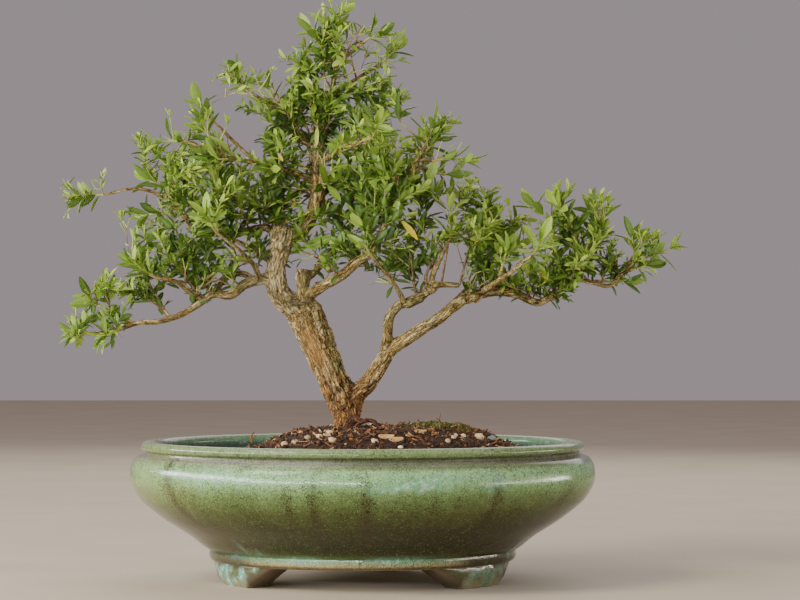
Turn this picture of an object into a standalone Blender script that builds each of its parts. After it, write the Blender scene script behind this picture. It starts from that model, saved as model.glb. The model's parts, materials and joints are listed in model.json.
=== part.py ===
"""Serissa bonsai in a round glazed pot on three feet.

Lengths are millimetres in this file and metres in the scene. While it is built, the pot's
axis is the Z axis and the feet stand on Z = 0, with the front of the tree toward -Y. The last
step moves the whole part so that its origin lies under the middle of its bounding box.
"""

import math
import random
from dataclasses import dataclass, field

import bmesh
import bpy
from mathutils import Matrix, Vector, noise
from mathutils.bvhtree import BVHTree

# Scale of the part
METRES_PER_MM = 0.001
GAP = 0.3  # left between two pieces that touch
ROOT_GAP = 0.4
CUT_SPARE = 5.0  # how far a cutter reaches past what it cuts

# Pot
RING_SEGMENTS = 32  # sides of everything turned about the pot's axis
POT_SMOOTH_ANGLE = 40
POT_BASE_HEIGHT = 12.0
POT_RIM_HEIGHT = 78.5
POT_FLOOR_HEIGHT = 20.5
POT_OUTER_PROFILE = (
    (82.4, POT_BASE_HEIGHT),
    (83.4, 14.6),
    (87.6, 19.6),
    (96.3, 26.3),
    (111.0, 35.4),
    (121.8, 43.8),
    (128.4, 52.6),
    (130.4, 60.5),
    (127.2, 68.6),
    (121.4, 71.6),
    (123.5, 74.2),
    (123.2, 77.4),
    (121.6, POT_RIM_HEIGHT),
)
POT_INNER_PROFILE = (
    (115.6, POT_RIM_HEIGHT),
    (114.4, 76.6),
    (114.8, 73.0),
    (121.0, 64.0),
    (121.0, 54.0),
    (110.5, 42.5),
    (90.0, 28.4),
    (76.0, POT_FLOOR_HEIGHT),
)
DRAIN_HOLE_RADIUS = 9.0
DRAIN_HOLE_OFFSET = 38.0
DRAIN_HOLE_SIDES = 12

# Feet
FOOT_MIDDLE_ANGLES = (206.0, 326.0, 86.0)  # degrees about the pot's axis
FOOT_FLAT_HALF_ANGLE = 12.0
FOOT_HALF_ANGLE = 30.0
FOOT_SECTIONS = 9
FOOT_TOP_HEIGHT = 15.5  # sunk into the bowl's base
FOOT_END_HEIGHT = 12.6
FOOT_OUTER_RADIUS = 82.2
FOOT_INNER_RADIUS = 66.0
FOOT_LOBE_DEPTH = 1.6
FOOT_UNDERCUT = 2.4
FOOT_BULGE = 0.8
FOOT_CORNERS = 5  # corners of a foot's section

# Drain screens
SCREEN_SIZE = 27.0
SCREEN_THICKNESS = 1.0
SCREEN_OPENING = 8.0
SCREEN_PITCH = 11.0

# Soil
SOIL_WALL_HEIGHT = 69.5
SOIL_MOUND_HEIGHT = 15.2
SOIL_MOUND_CENTRE = (11.0, 2.0)
SOIL_MOUND_FLAT_RADIUS = 40.0
SOIL_MOUND_FOOT_RADIUS = 92.0
SOIL_SLOPE = 0.016  # rise toward +X
SOIL_RELIEF = 1.3
SOIL_RELIEF_SIZE = 11.0
SOIL_TOP_RADII = (112.0, 88.0, 68.0, 46.0, 24.0)
SOIL_SIDE_KNOTS = (7, 6, 5, 4, 3)  # knots of the pot's inner profile that the soil follows
SOIL_SEED = 41
PEBBLE_COUNT = 14
CHIP_COUNT = 12
PEBBLE_RADIUS = (1.9, 3.1)
CHIP_LENGTH = (5.0, 9.5)
PEBBLE_STRETCH = (1.0, 1.4)
PEBBLE_HEIGHT_SHARE = 0.75
CHIP_WIDTH_SHARE = 0.48
CHIP_THICKNESS = 1.8
CHIP_TILT = 0.35  # most that a chip tilts about its length, in radians
CHIP_LEAN = 0.3
LITTER_RADIUS = 78.0  # pebbles and chips lie inside this
LITTER_RISE = 0.3  # how far a middle lies above the soil
LITTER_SPACING = 1.0
LITTER_FROM_COLLAR = 3.0
LITTER_FROM_ROOT = 3.0  # in radii of the root
ABOVE_SOIL = 99.0

# Trunk collar, the plain stump that stands in the soil
COLLAR_CENTRE = (-8.8, 0.0)
COLLAR_RADIUS = 7.5
COLLAR_BOTTOM = 52.0
COLLAR_TOP = 90.0
COLLAR_SIDES = 12

# Bark of the thick limbs
WOOD_SMOOTH_ANGLE = 50
FLUTES = 3
FLUTE_TWIST = 0.11  # radians for each millimetre of height
BARK_NOISE_SCALE = 0.12
BARK_NOISE_AROUND = 2.3

# Twigs, shoots and leaves
LEAF_SEED = 7
SHOOT_LENGTH = (27.0, 38.0)
SHOOT_RADIUS = (0.85, 0.6)
SHOOT_SIDES = 3
TWIG_END_RADIUS = 0.95
TWIG_SIDES = 3
TWIG_STUB = 4.5  # least length of wood that carries a shoot
TWIG_SPOT_SPACING = 3.0
TWIG_FREE_SPOTS = 2  # spots at a limb's end where no twig starts
TWIG_DOWN_COST = 1.2
TWIG_BOW = 0.1  # share of a twig's length
TWIG_BOW_RISE = 1.3
TWIG_THIN_SHARE = 0.75  # of the radius of the wood that bears the twig
TWIG_TAPER = 0.012
STRAIGHT_TWIG = 10.0
LOWEST_TWIG = 140.0
LIMB_STEP = 5.0
SHOOT_STEP = 11.0
STEM_TRIES = 80
STEM_STRAY = 0.25  # how much further each try may aim from the tip
STEM_GAP = 0.36  # between a stem and the end of its wood
STEM_STRAIGHT = 2.5  # length that carries straight on from the wood
STEM_LEAST_SHARE = 0.5
STEM_ELBOW = 0.35
STEM_BOW = 0.12
STEM_BOW_RISE = (-0.6, 1.0)
LEAF_LENGTH = (11.0, 16.5)
LEAF_WIDTH_SHARE = 0.42
LEAF_SPACING = 6.0
LEAF_REACH = 10.0  # how far leaves reach past the tip of their stem
LEAF_THICKNESS = 0.85
# Shares of a leaf's length, width and keel depth at its two sections
LEAF_SECTIONS = ((0.34, 1.0, 1.0), (0.72, 0.78, 0.85))
LEAF_DROOP = 0.16
LEAF_RISE = 0.12  # how much leaves turn up from their stem
LEAF_STALK = 1.8
LEAF_END_MARGIN = 0.4  # from the last leaves to the stem's end
LEAF_TRIES = 14
LEAF_ROLL_STRAY = 0.12
LEAF_SHRINK = 0.02  # share of its length that a leaf loses at each try
LEAF_CLEARANCE = 0.35
SIDE_LEAN = (38, 72)  # degrees between a leaf and its stem
TIP_LEAN = (12, 30)


@dataclass
class Shape:
    """A closed triangle mesh in millimetres."""

    points: list = field(default_factory=list)
    faces: list = field(default_factory=list)

    def tree(self):
        return BVHTree.FromPolygons(self.points, self.faces)


@dataclass
class Limb:
    """A woody limb: a hand-chosen route of (x, y, z, radius) and the sides of its section."""

    name: str
    route: tuple
    sides: int = 5
    bears_twigs: bool = True
    bark: float = 0.0
    shoot_tip: tuple | None = None


# The tree's limbs. Each starts inside the wood that carries it.
LIMBS = (
    Limb(
        "left_trunk",
        (
            (-8.8, 0, 86, 7.0),
            (-9.4, 0, 95, 7.5),
            (-12.6, 0, 105, 8.8),
            (-17.8, 1, 115, 8.6),
            (-23.6, 3, 129, 9.3),
            (-28.4, 4, 140, 10.0),
            (-32.5, 4, 149, 10.6),
            (-38.0, 3, 153.5, 7.4),
            (-43.6, 2.5, 158, 5.6),
            (-47.0, 2, 163, 5.2),
        ),
        9,
        False,
        0.07,
    ),
    Limb(
        "upper_trunk",
        (
            (-37.5, 3, 153, 6.6),
            (-42.0, 3, 156, 6.2),
            (-46.6, 3, 160.5, 6.2),
            (-48.8, 2, 168, 6.2),
            (-48.4, 1, 177, 5.6),
            (-46.2, 0, 186, 6.4),
            (-44.2, -1, 195, 8.8),
            (-43.6, -1, 199, 7.4),
        ),
        8,
        False,
        0.07,
    ),
    Limb(
        "leader",
        (
            (-44.0, -1, 190, 4.6),
            (-35.0, -2, 195.5, 4.3),
            (-30.2, -3, 202, 4.0),
            (-27.0, -3, 209, 3.9),
            (-25.4, -2, 218, 4.5),
            (-25.7, 0, 228, 4.3),
            (-26.2, 2, 240, 3.9),
            (-23.4, 3, 254, 2.3),
            (-17.4, 2, 272, 1.8),
            (-16.3, 0, 288, 1.4),
            (-15.8, -1, 302, 1.1),
        ),
        6,
        shoot_tip=(-9, 0, 327),
    ),
    Limb(
        "right_trunk",
        (
            (-8.2, 0, 91, 6.2),
            (-4.9, -1, 103, 5.9),
            (3.2, -2, 111, 5.0),
            (9.8, -3, 121, 4.6),
            (15.5, -4, 129.6, 4.2),
            (23, -5, 134.4, 3.9),
            (32.7, -6, 140.7, 3.6),
            (43.4, -6, 147.3, 3.3),
            (51, -5, 153.8, 3.2),
            (60, -4, 159.2, 3.1),
            (75.6, -2, 162.2, 2.8),
            (88, -1, 160, 2.5),
            (97.4, 0, 155.8, 2.2),
            (105.7, 1, 159.2, 1.9),
            (119.5, 3, 168.2, 1.5),
            (129, 3, 167, 1.3),
            (139.5, 2, 165.6, 1.2),
            (147.5, 1, 174.5, 1.1),
            (151.5, 0, 181.5, 1.0),
        ),
        6,
        True,
        0.06,
        shoot_tip=(152, 2, 200),
    ),
    Limb(
        "right_fork",
        (
            (12.6, -3.5, 126, 3.3),
            (14, -6, 137, 2.9),
            (14.8, -7, 146.5, 2.8),
            (20, -8, 154, 2.6),
            (30, -9.5, 158.2, 2.4),
            (37.4, -11, 163, 2.1),
            (39.4, -12, 172, 1.8),
            (46.4, -16, 187, 1.3),
        ),
        5,
        shoot_tip=(50, -22, 216),
    ),
    Limb(
        "right_fork_stub",
        ((33, -10, 160.5, 2.0), (42, -12, 165.6, 1.9), (54, -12, 165.4, 1.5)),
        5,
        False,
    ),
    Limb(
        "right_fork_twig",
        ((24, -9, 155, 1.6), (17, -20, 167, 1.3), (6, -31, 180.4, 1.0)),
        4,
        shoot_tip=(-2, -42, 204),
    ),
    Limb(
        "cut_stub",
        ((-33.4, 2, 152, 4.8), (-33.5, 1, 162, 3.1), (-33.6, 0, 169, 4.3), (-33.5, 0, 174.5, 3.7)),
        6,
        False,
    ),
    Limb(
        "inner_branch",
        (
            (-33, 3, 153, 4.0),
            (-30, 0, 160, 3.4),
            (-22, -5, 165.5, 3.0),
            (-12, -9, 170.6, 2.9),
            (-3.5, -12, 178.2, 2.8),
            (4.4, -15, 183.6, 2.7),
            (10.4, -18, 194, 2.3),
            (17, -23, 209, 1.7),
            (27, -20, 228, 1.4),
            (35, -14, 244, 1.1),
        ),
        6,
        shoot_tip=(43, -14, 262),
    ),
    Limb(
        "inner_back_branch",
        (
            (-34, 1, 168, 2.5),
            (-27, 3, 173.6, 2.2),
            (-18.9, 8, 183.6, 1.9),
            (-9, 16, 196, 1.6),
            (2, 25, 212, 1.2),
        ),
        5,
        shoot_tip=(8, 34, 240),
    ),
    Limb(
        "left_low_branch",
        (
            (-46, 1, 168, 3.8),
            (-55, 0, 169.4, 3.2),
            (-65.3, -2, 166.6, 2.9),
            (-74, -4, 160, 2.6),
            (-83.2, -6, 160.6, 2.4),
            (-91, -8, 155.6, 2.2),
            (-100.8, -9, 149.3, 1.9),
            (-113, -11, 145.4, 1.7),
            (-125.2, -12, 144.4, 1.5),
            (-138, -12, 140.4, 1.3),
            (-153, -12, 138.2, 1.0),
        ),
        5,
        True,
        0.05,
        shoot_tip=(-167, -10, 139),
    ),
    Limb(
        "left_low_loop",
        ((-60, 0, 168, 2.0), (-68, 4, 172.4, 1.9), (-76, 4, 170.6, 1.8), (-83, -4, 161.5, 1.7)),
        4,
        False,
    ),
    Limb(
        "left_low_arm",
        (
            (-88, -7, 158, 1.9),
            (-95, -10, 161, 1.7),
            (-103.2, -15, 167.2, 1.4),
            (-113.2, -20, 169.4, 1.1),
        ),
        4,
        shoot_tip=(-134, -30, 182),
    ),
    Limb(
        "left_low_twig",
        ((-107, -10, 147, 1.3), (-113.4, -6, 154.6, 1.1), (-118.1, -3, 163.5, 0.95)),
        4,
        shoot_tip=(-126, 4, 188),
    ),
    Limb(
        "left_end_twig",
        ((-127, -12, 144, 1.2), (-135, -9, 147.6, 1.1), (-145.7, -6, 153.4, 0.95)),
        4,
        shoot_tip=(-157, 0, 161),
    ),
    Limb(
        "left_middle_branch",
        (
            (-45, 0, 195, 2.8),
            (-54.3, 2, 198, 2.2),
            (-63.9, 4, 196.8, 2.0),
            (-72, 6, 194, 1.9),
            (-83, 8, 194.6, 1.7),
            (-95.4, 10, 198, 1.4),
            (-104, 10, 208, 1.2),
            (-109, 8, 216.5, 1.0),
        ),
        5,
        shoot_tip=(-128, 14, 231),
    ),
    Limb(
        "left_long_shoot",
        ((-103, 10, 206, 1.2), (-117, 8, 217.5, 1.1), (-130, 5, 220, 1.0), (-143, 2, 217, 0.95)),
        4,
        False,
        shoot_tip=(-167, 2, 213),
    ),
    Limb(
        "upper_left_branch",
        (
            (-26, 0, 223, 2.1),
            (-38, -4, 229, 1.8),
            (-58, -8, 233, 1.5),
            (-76, -10, 238, 1.2),
            (-94, -10, 244, 1.0),
        ),
        5,
        shoot_tip=(-122, -12, 246),
    ),
    Limb(
        "upper_left_twig",
        ((-58, -8, 233, 1.3), (-71, -4, 245, 1.1), (-82, 0, 256, 0.95)),
        4,
        shoot_tip=(-97, 4, 274),
    ),
    Limb(
        "crown_left_twig",
        ((-26.8, 2, 240, 1.9), (-34, 4, 249.4, 1.6), (-46, 8, 263, 1.3), (-64, 10, 275, 1.0)),
        5,
        shoot_tip=(-76, 12, 293),
    ),
    Limb(
        "crown_front_twig",
        ((-16.6, 0.5, 284, 1.4), (-8.8, -4, 294, 1.1), (1.5, -8, 302, 0.95)),
        4,
        shoot_tip=(13, -14, 307),
    ),
    Limb(
        "crown_back_twig",
        ((-18, 2, 273, 1.5), (-6, 6, 280.5, 1.2), (9.6, 10, 290.5, 1.0)),
        4,
        shoot_tip=(23, 13, 305),
    ),
    Limb(
        "back_branch",
        ((-26, -1, 214, 2.4), (-20, 16, 220, 2.0), (-12, 34, 226, 1.6), (-4, 54, 233, 1.2)),
        5,
        shoot_tip=(2, 78, 246),
    ),
    Limb(
        "front_branch",
        ((-26, 1, 233, 1.9), (-18, -14, 237, 1.5), (-8, -31, 241, 1.2), (4, -46, 245, 1.0)),
        5,
        shoot_tip=(10, -70, 256),
    ),
    Limb(
        "right_back_branch",
        ((49, -5, 152.5, 2.5), (56, 10, 160, 2.1), (63, 28, 168, 1.6), (70, 47, 177, 1.2)),
        5,
        shoot_tip=(78, 70, 192),
    ),
    Limb(
        "right_front_branch",
        ((66, -3.5, 160.8, 2.0), (73, -17, 166, 1.6), (82, -34, 172.4, 1.3), (90, -48, 179, 1.0)),
        5,
        shoot_tip=(100, -70, 194),
    ),
    Limb(
        "left_back_branch",
        ((-48, 2, 176, 2.6), (-57, 15, 183, 2.1), (-70, 31, 190, 1.6), (-84, 45, 197, 1.2)),
        5,
        shoot_tip=(-96, 66, 212),
    ),
    Limb(
        "left_front_branch",
        ((-58, -1, 168.6, 1.9), (-60, -16, 176, 1.5), (-67, -32, 184, 1.2), (-77, -46, 192, 1.0)),
        5,
        shoot_tip=(-88, -66, 208),
    ),
    Limb(
        "bare_right_twig",
        ((117, 2.6, 167, 1.4), (123, 6, 176, 1.2), (128, 9, 187.6, 1.0)),
        4,
        shoot_tip=(129, 12, 216),
    ),
)

# The root that arches out of the soil beside the trunk, and the flare that joins it to the trunk
ROOT_ARCH = Limb(
    "root_arch",
    (
        (-7, -13, 77, 1.3),
        (-5.6, -12, 84, 1.3),
        (-1, -9.6, 89, 1.4),
        (4.5, -9, 90.2, 1.3),
        (8.8, -9.4, 87, 1.2),
        (10.6, -9.8, 79, 1.1),
    ),
    5,
    False,
)
ROOT_FLARE = Limb(
    "root_flare",
    ((-9, -1, 92, 3.0), (-4.5, -5.5, 91, 2.2), (0.5, -9, 89.6, 1.2)),
    5,
    False,
)

# Tips of the shoots that draw the tree's outline, as (x, y, z)
OUTLINE_TIPS = (
    (-58, 4, 285),
    (-34, -6, 314),
    (-22, 7, 320),
    (-93, -14, 264),
    (-131, 18, 206),
    (-150, -24, 134),
    (48, -4, 252),
    (56, 24, 228),
    (66, -20, 235),
    (90, 10, 216),
    (106, -14, 216),
    (134, -6, 203),
    (182, 2, 190),
    (167, -12, 179),
    (157, 6, 168),
)

# Foliage inside the outline: middle, half sizes and the number of shoots in it
FOLIAGE_MASSES = (
    ((-80, 0, 228), (34, 36, 14), 4),
    ((4, 0, 230), (36, 44, 26), 6),
    ((80, 0, 194), (36, 34, 14), 4),
    ((-22, 0, 270), (22, 28, 16), 2),
)
MASS_SPACING = 25.0


def smoothstep(low, high, value):
    share = min(1.0, max(0.0, (value - low) / (high - low)))
    return share * share * (3 - 2 * share)


# Materials


def principled(name, colour, roughness):
    """A plain material from a linear RGB colour."""
    material = bpy.data.materials.new(name)
    material.use_nodes = True
    shader = material.node_tree.nodes["Principled BSDF"]
    shader.inputs["Base Color"].default_value = (*colour, 1.0)
    shader.inputs["Roughness"].default_value = roughness
    return material


def part_materials():
    return {
        "glaze": principled("green_crackle_glaze", (0.18, 0.26, 0.13), 0.12),
        "soil": principled("bark_soil", (0.07, 0.04, 0.025), 0.9),
        "screen": principled("drain_screen_plastic", (0.02, 0.02, 0.02), 0.5),
        "bark": principled("flaky_bark", (0.36, 0.26, 0.13), 0.85),
        "leaf": principled("glossy_leaf", (0.07, 0.18, 0.03), 0.35),
    }


# Meshes and Boolean operations


def closed_mesh(name, shape):
    """A mesh in metres whose faces are triangles that point out."""
    mesh = bpy.data.meshes.new(name)
    mesh.from_pydata([point * METRES_PER_MM for point in shape.points], [], shape.faces)
    bm = bmesh.new()
    bm.from_mesh(mesh)
    bmesh.ops.triangulate(bm, faces=bm.faces[:])
    bmesh.ops.recalc_face_normals(bm, faces=bm.faces[:])
    bm.to_mesh(mesh)
    bm.free()
    return mesh


def add_object(name, mesh, material=None, collection=None):
    body = bpy.data.objects.new(name, mesh)
    if material is not None:
        mesh.materials.clear()
        mesh.materials.append(material)
    (collection or bpy.context.scene.collection).objects.link(body)
    return body


def largest_island(mesh):
    """Drops loose scraps and fills hollows, so that the mesh is its largest closed skin alone."""
    bm = bmesh.new()
    bm.from_mesh(mesh)
    bmesh.ops.triangulate(bm, faces=bm.faces[:])
    unseen = set(bm.verts)
    islands = []
    while unseen:
        edge_of_island = [unseen.pop()]
        island = set(edge_of_island)
        while edge_of_island:
            vert = edge_of_island.pop()
            for edge in vert.link_edges:
                other = edge.other_vert(vert)
                if other in unseen:
                    unseen.discard(other)
                    island.add(other)
                    edge_of_island.append(other)
        islands.append(island)
    islands.sort(key=len, reverse=True)
    scraps = [vert for island in islands[1:] for vert in island]
    bmesh.ops.delete(bm, geom=scraps, context="VERTS")
    bmesh.ops.recalc_face_normals(bm, faces=bm.faces[:])
    bm.to_mesh(mesh)
    bm.free()
    return mesh


def combine(name, first, others, operation, material):
    """One Boolean operation of a shape with a collection of shapes, applied."""
    collection = bpy.data.collections.new(name + "_pieces")
    bpy.context.scene.collection.children.link(collection)
    pieces = []
    for number, shape in enumerate(others):
        piece_name = f"{name}_piece_{number}"
        pieces.append(add_object(piece_name, closed_mesh(piece_name, shape), None, collection))
    body = add_object(name, closed_mesh(name, first), material)
    boolean = body.modifiers.new("combine", "BOOLEAN")
    boolean.operation = operation
    boolean.operand_type = "COLLECTION"
    boolean.collection = collection
    boolean.solver = "EXACT"
    depsgraph = bpy.context.evaluated_depsgraph_get()
    evaluated = body.evaluated_get(depsgraph)
    result = bpy.data.meshes.new_from_object(evaluated, depsgraph=depsgraph)
    body.modifiers.clear()
    body.data = largest_island(result)
    for piece in pieces:
        mesh = piece.data
        bpy.data.objects.remove(piece)
        bpy.data.meshes.remove(mesh)
    bpy.data.collections.remove(collection)
    return body


def shape_of(body):
    """A body's mesh back in millimetres."""
    points = [vert.co / METRES_PER_MM for vert in body.data.vertices]
    faces = [tuple(polygon.vertices) for polygon in body.data.polygons]
    return Shape(points, faces)


def shade_smooth(body, angle_degrees):
    body.data.shade_smooth()
    body.data.set_sharp_from_angle(angle=math.radians(angle_degrees))


# Turned and swept shapes


def turned(profile, segments=RING_SEGMENTS):
    """A solid turned about Z from an open profile of (radius, height), closed at both ends."""
    points = []
    faces = []
    for radius, height in profile:
        for number in range(segments):
            angle = 2 * math.pi * number / segments
            points.append(Vector((radius * math.cos(angle), radius * math.sin(angle), height)))
    for row in range(len(profile) - 1):
        faces += ring_faces(row * segments, (row + 1) * segments, segments)
    for row in (0, len(profile) - 1):
        centre = len(points)
        points.append(Vector((0, 0, profile[row][1])))
        start = row * segments
        faces += [
            (centre, start + number, start + (number + 1) % segments) for number in range(segments)
        ]
    return Shape(points, faces)


def ring_faces(low, high, sides):
    """Triangles between two rings of points that start at the indices low and high."""
    faces = []
    for number in range(sides):
        after = (number + 1) % sides
        faces.append((low + number, low + after, high + after))
        faces.append((low + number, high + after, high + number))
    return faces


def prism(centre, radius, bottom, top, sides):
    """An upright prism with a regular section."""
    shape = turned(((radius, bottom), (radius, top)), sides)
    shift = Vector((centre[0], centre[1], 0))
    shape.points = [point + shift for point in shape.points]
    return shape


def smooth_route(route, spacing):
    """Stations (place, radius) along a Catmull-Rom curve through a limb's route."""
    knots = [Vector(knot) for knot in route]
    knots = [2 * knots[0] - knots[1], *knots, 2 * knots[-1] - knots[-2]]
    stations = []
    for number in range(1, len(knots) - 2):
        before, start, end, after = knots[number - 1 : number + 3]
        steps = max(1, round((end - start).length / spacing))
        for step in range(steps):
            share = step / steps
            place = 0.5 * (
                2 * start
                + (end - before) * share
                + (2 * before - 5 * start + 4 * end - after) * share**2
                + (3 * start - before - 3 * end + after) * share**3
            )
            stations.append((place.to_3d(), place[3]))
    stations.append((knots[-2].to_3d(), knots[-2][3]))
    return stations


def directions(places):
    """Unit tangent at each place of a route."""
    last = len(places) - 1
    return [
        (places[min(number + 1, last)] - places[max(number - 1, 0)]).normalized()
        for number in range(len(places))
    ]


def swept(stations, sides, bark=0.0):
    """A tube with flat ends along stations of (place, radius), fluted by the share bark."""
    places = [place for place, _ in stations]
    tangents = directions(places)
    across = tangents[0].orthogonal().normalized()
    points = []
    faces = []
    for (place, radius), tangent in zip(stations, tangents):
        across = (across - across.dot(tangent) * tangent).normalized()
        other = tangent.cross(across)
        for number in range(sides):
            angle = 2 * math.pi * number / sides
            way = math.cos(angle) * across + math.sin(angle) * other
            spot = BARK_NOISE_SCALE * place + BARK_NOISE_AROUND * way
            flute = math.sin(FLUTES * angle + FLUTE_TWIST * place.z) + noise.noise(spot)
            points.append(place + radius * (1 + bark * flute) * way)
    for row in range(len(stations) - 1):
        faces += ring_faces(row * sides, (row + 1) * sides, sides)
    last = (len(stations) - 1) * sides
    faces.append(tuple(range(sides)))
    faces.append(tuple(range(last, last + sides)))
    return Shape(points, faces)


# Pot


def foot(middle_angle):
    """A bracket foot: a full-height middle whose ends slant up under the bowl's edge."""
    points = []
    faces = []
    for section in range(FOOT_SECTIONS):
        across = 2 * section / (FOOT_SECTIONS - 1) - 1
        offset = abs(across) * FOOT_HALF_ANGLE
        bottom = FOOT_END_HEIGHT * max(0.0, offset - FOOT_FLAT_HALF_ANGLE)
        bottom /= FOOT_HALF_ANGLE - FOOT_FLAT_HALF_ANGLE
        lobe = FOOT_LOBE_DEPTH * (0.5 - 0.5 * math.cos(2 * math.pi * across * 2))
        outer = FOOT_OUTER_RADIUS - lobe
        angle = math.radians(middle_angle + across * FOOT_HALF_ANGLE)
        out = Vector((math.cos(angle), math.sin(angle), 0))
        waist = 0.5 * (bottom + FOOT_TOP_HEIGHT)
        for radius, height in (
            (outer, FOOT_TOP_HEIGHT),
            (outer + FOOT_BULGE, waist),
            (outer - FOOT_UNDERCUT, bottom),
            (FOOT_INNER_RADIUS, bottom),
            (FOOT_INNER_RADIUS, FOOT_TOP_HEIGHT),
        ):
            points.append(radius * out + Vector((0, 0, height)))
    for start in range(0, (FOOT_SECTIONS - 1) * FOOT_CORNERS, FOOT_CORNERS):
        faces += ring_faces(start, start + FOOT_CORNERS, FOOT_CORNERS)
    faces.append(tuple(range(FOOT_CORNERS)))
    faces.append(tuple(range(len(points) - FOOT_CORNERS, len(points))))
    return Shape(points, faces)


def drain_hole(side):
    centre = (side * DRAIN_HOLE_OFFSET, 0)
    bottom = POT_BASE_HEIGHT - CUT_SPARE
    top = POT_FLOOR_HEIGHT + CUT_SPARE
    return prism(centre, DRAIN_HOLE_RADIUS, bottom, top, DRAIN_HOLE_SIDES)


def build_pot(material):
    """The bowl with its three feet, and the drain holes through its floor."""
    bowl = turned(POT_OUTER_PROFILE + POT_INNER_PROFILE)
    feet = [foot(angle) for angle in FOOT_MIDDLE_ANGLES]
    footed = combine("pot_blank", bowl, feet, "UNION", material)
    holes = [drain_hole(-1), drain_hole(1)]
    pot = combine("pot", shape_of(footed), holes, "DIFFERENCE", material)
    bpy.data.objects.remove(footed)
    shade_smooth(pot, POT_SMOOTH_ANGLE)
    return pot


# Drain screens


def build_screen(name, side, material):
    """A square mesh over a drain hole, lying on the pot's floor."""
    half = SCREEN_SIZE / 2
    bottom = POT_FLOOR_HEIGHT + GAP
    centre = Vector((side * DRAIN_HOLE_OFFSET, 0, 0))
    plate = box(centre, (half, half), bottom, bottom + SCREEN_THICKNESS)
    openings = []
    reach = (SCREEN_OPENING / 2, SCREEN_OPENING / 2)
    for column in (-0.5, 0.5):
        for row in (-0.5, 0.5):
            middle = centre + Vector((column * SCREEN_PITCH, row * SCREEN_PITCH, 0))
            top = bottom + SCREEN_THICKNESS + CUT_SPARE
            openings.append(box(middle, reach, bottom - CUT_SPARE, top))
    return combine(name, plate, openings, "DIFFERENCE", material)


def box(centre, reach, bottom, top):
    points = [
        Vector((centre.x + x * reach[0], centre.y + y * reach[1], z))
        for z in (bottom, top)
        for x, y in ((-1, -1), (1, -1), (1, 1), (-1, 1))
    ]
    return Shape(points, ring_faces(0, 4, 4) + [(0, 1, 2, 3), (4, 5, 6, 7)])


# Soil


def soil_height(x, y):
    """Height of the soil's top at a place, without its pebbles and bark."""
    from_centre = math.hypot(x - SOIL_MOUND_CENTRE[0], y - SOIL_MOUND_CENTRE[1])
    mound = 1 - smoothstep(SOIL_MOUND_FLAT_RADIUS, SOIL_MOUND_FOOT_RADIUS, from_centre)
    relief = noise.noise(Vector((x, y, 0)) / SOIL_RELIEF_SIZE)
    height = SOIL_WALL_HEIGHT + SOIL_MOUND_HEIGHT * mound
    return height + SOIL_SLOPE * x + SOIL_RELIEF * relief


def soil_body():
    """The soil's solid: the pot's inside less the gap, under the mound."""
    wall = [POT_INNER_PROFILE[knot] for knot in SOIL_SIDE_KNOTS]
    sides = [(radius - 2 * GAP, height + GAP) for radius, height in wall]
    shape = turned([*sides, *((radius, 0.0) for radius in SOIL_TOP_RADII)])
    top = len(sides) * RING_SEGMENTS
    for number, point in enumerate(shape.points):
        on_top = top <= number < top + len(SOIL_TOP_RADII) * RING_SEGMENTS
        if on_top or number == len(shape.points) - 1:
            point.z = soil_height(point.x, point.y)
    return shape


def pebble(place, radius, rng):
    """A flattened stone of 20 faces."""
    bm = bmesh.new()
    bmesh.ops.create_icosphere(bm, subdivisions=1, radius=1.0)
    turn = Matrix.Rotation(rng.uniform(0, math.tau), 3, "Z")
    longer = rng.uniform(*PEBBLE_STRETCH)
    stretch = radius * Matrix.Diagonal((longer, 1, PEBBLE_HEIGHT_SHARE))
    points = [place + turn @ (stretch @ vert.co) for vert in bm.verts]
    faces = [tuple(vert.index for vert in face.verts) for face in bm.faces]
    bm.free()
    return Shape(points, faces)


def bark_chip(place, length, rng):
    """A flat, tilted flake of bark."""
    reach = (0.5 * length, 0.5 * CHIP_WIDTH_SHARE * length)
    flake = box(Vector((0, 0, 0)), reach, -0.5 * CHIP_THICKNESS, 0.5 * CHIP_THICKNESS)
    turn = Matrix.Rotation(rng.uniform(0, math.tau), 3, "Z")
    tilt = Matrix.Rotation(rng.uniform(-CHIP_TILT, CHIP_TILT), 3, "X")
    lean = Matrix.Rotation(rng.uniform(-CHIP_LEAN, CHIP_LEAN), 3, "Y")
    return Shape([place + turn @ (tilt @ (lean @ p)) for p in flake.points], flake.faces)


def litter():
    """Pebbles and bark flakes half sunk in the soil, none over another or over the roots."""
    rng = random.Random(SOIL_SEED)
    taken = [(*COLLAR_CENTRE, COLLAR_RADIUS + LITTER_FROM_COLLAR)]
    taken += [(x, y, LITTER_FROM_ROOT * radius) for x, y, _, radius in ROOT_ARCH.route]
    shapes = []
    while len(shapes) < PEBBLE_COUNT + CHIP_COUNT:
        reach = LITTER_RADIUS * math.sqrt(rng.random())
        angle = rng.uniform(0, math.tau)
        x = SOIL_MOUND_CENTRE[0] + reach * math.cos(angle)
        y = SOIL_MOUND_CENTRE[1] + reach * math.sin(angle)
        is_pebble = len(shapes) < PEBBLE_COUNT
        size = rng.uniform(*PEBBLE_RADIUS) if is_pebble else rng.uniform(*CHIP_LENGTH) / 2
        room = size + LITTER_SPACING
        if any(math.hypot(x - a, y - b) < room + other for a, b, other in taken):
            continue
        taken.append((x, y, size))
        place = Vector((x, y, soil_height(x, y) + LITTER_RISE))
        shapes.append(pebble(place, size, rng) if is_pebble else bark_chip(place, 2 * size, rng))
    return shapes


def screen_pocket(side):
    """The room that a drain screen takes from the soil above it."""
    reach = SCREEN_SIZE / 2 + GAP
    top = POT_FLOOR_HEIGHT + SCREEN_THICKNESS + 2 * GAP
    centre = Vector((side * DRAIN_HOLE_OFFSET, 0, 0))
    return box(centre, (reach, reach), POT_FLOOR_HEIGHT - CUT_SPARE, top)


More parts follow.
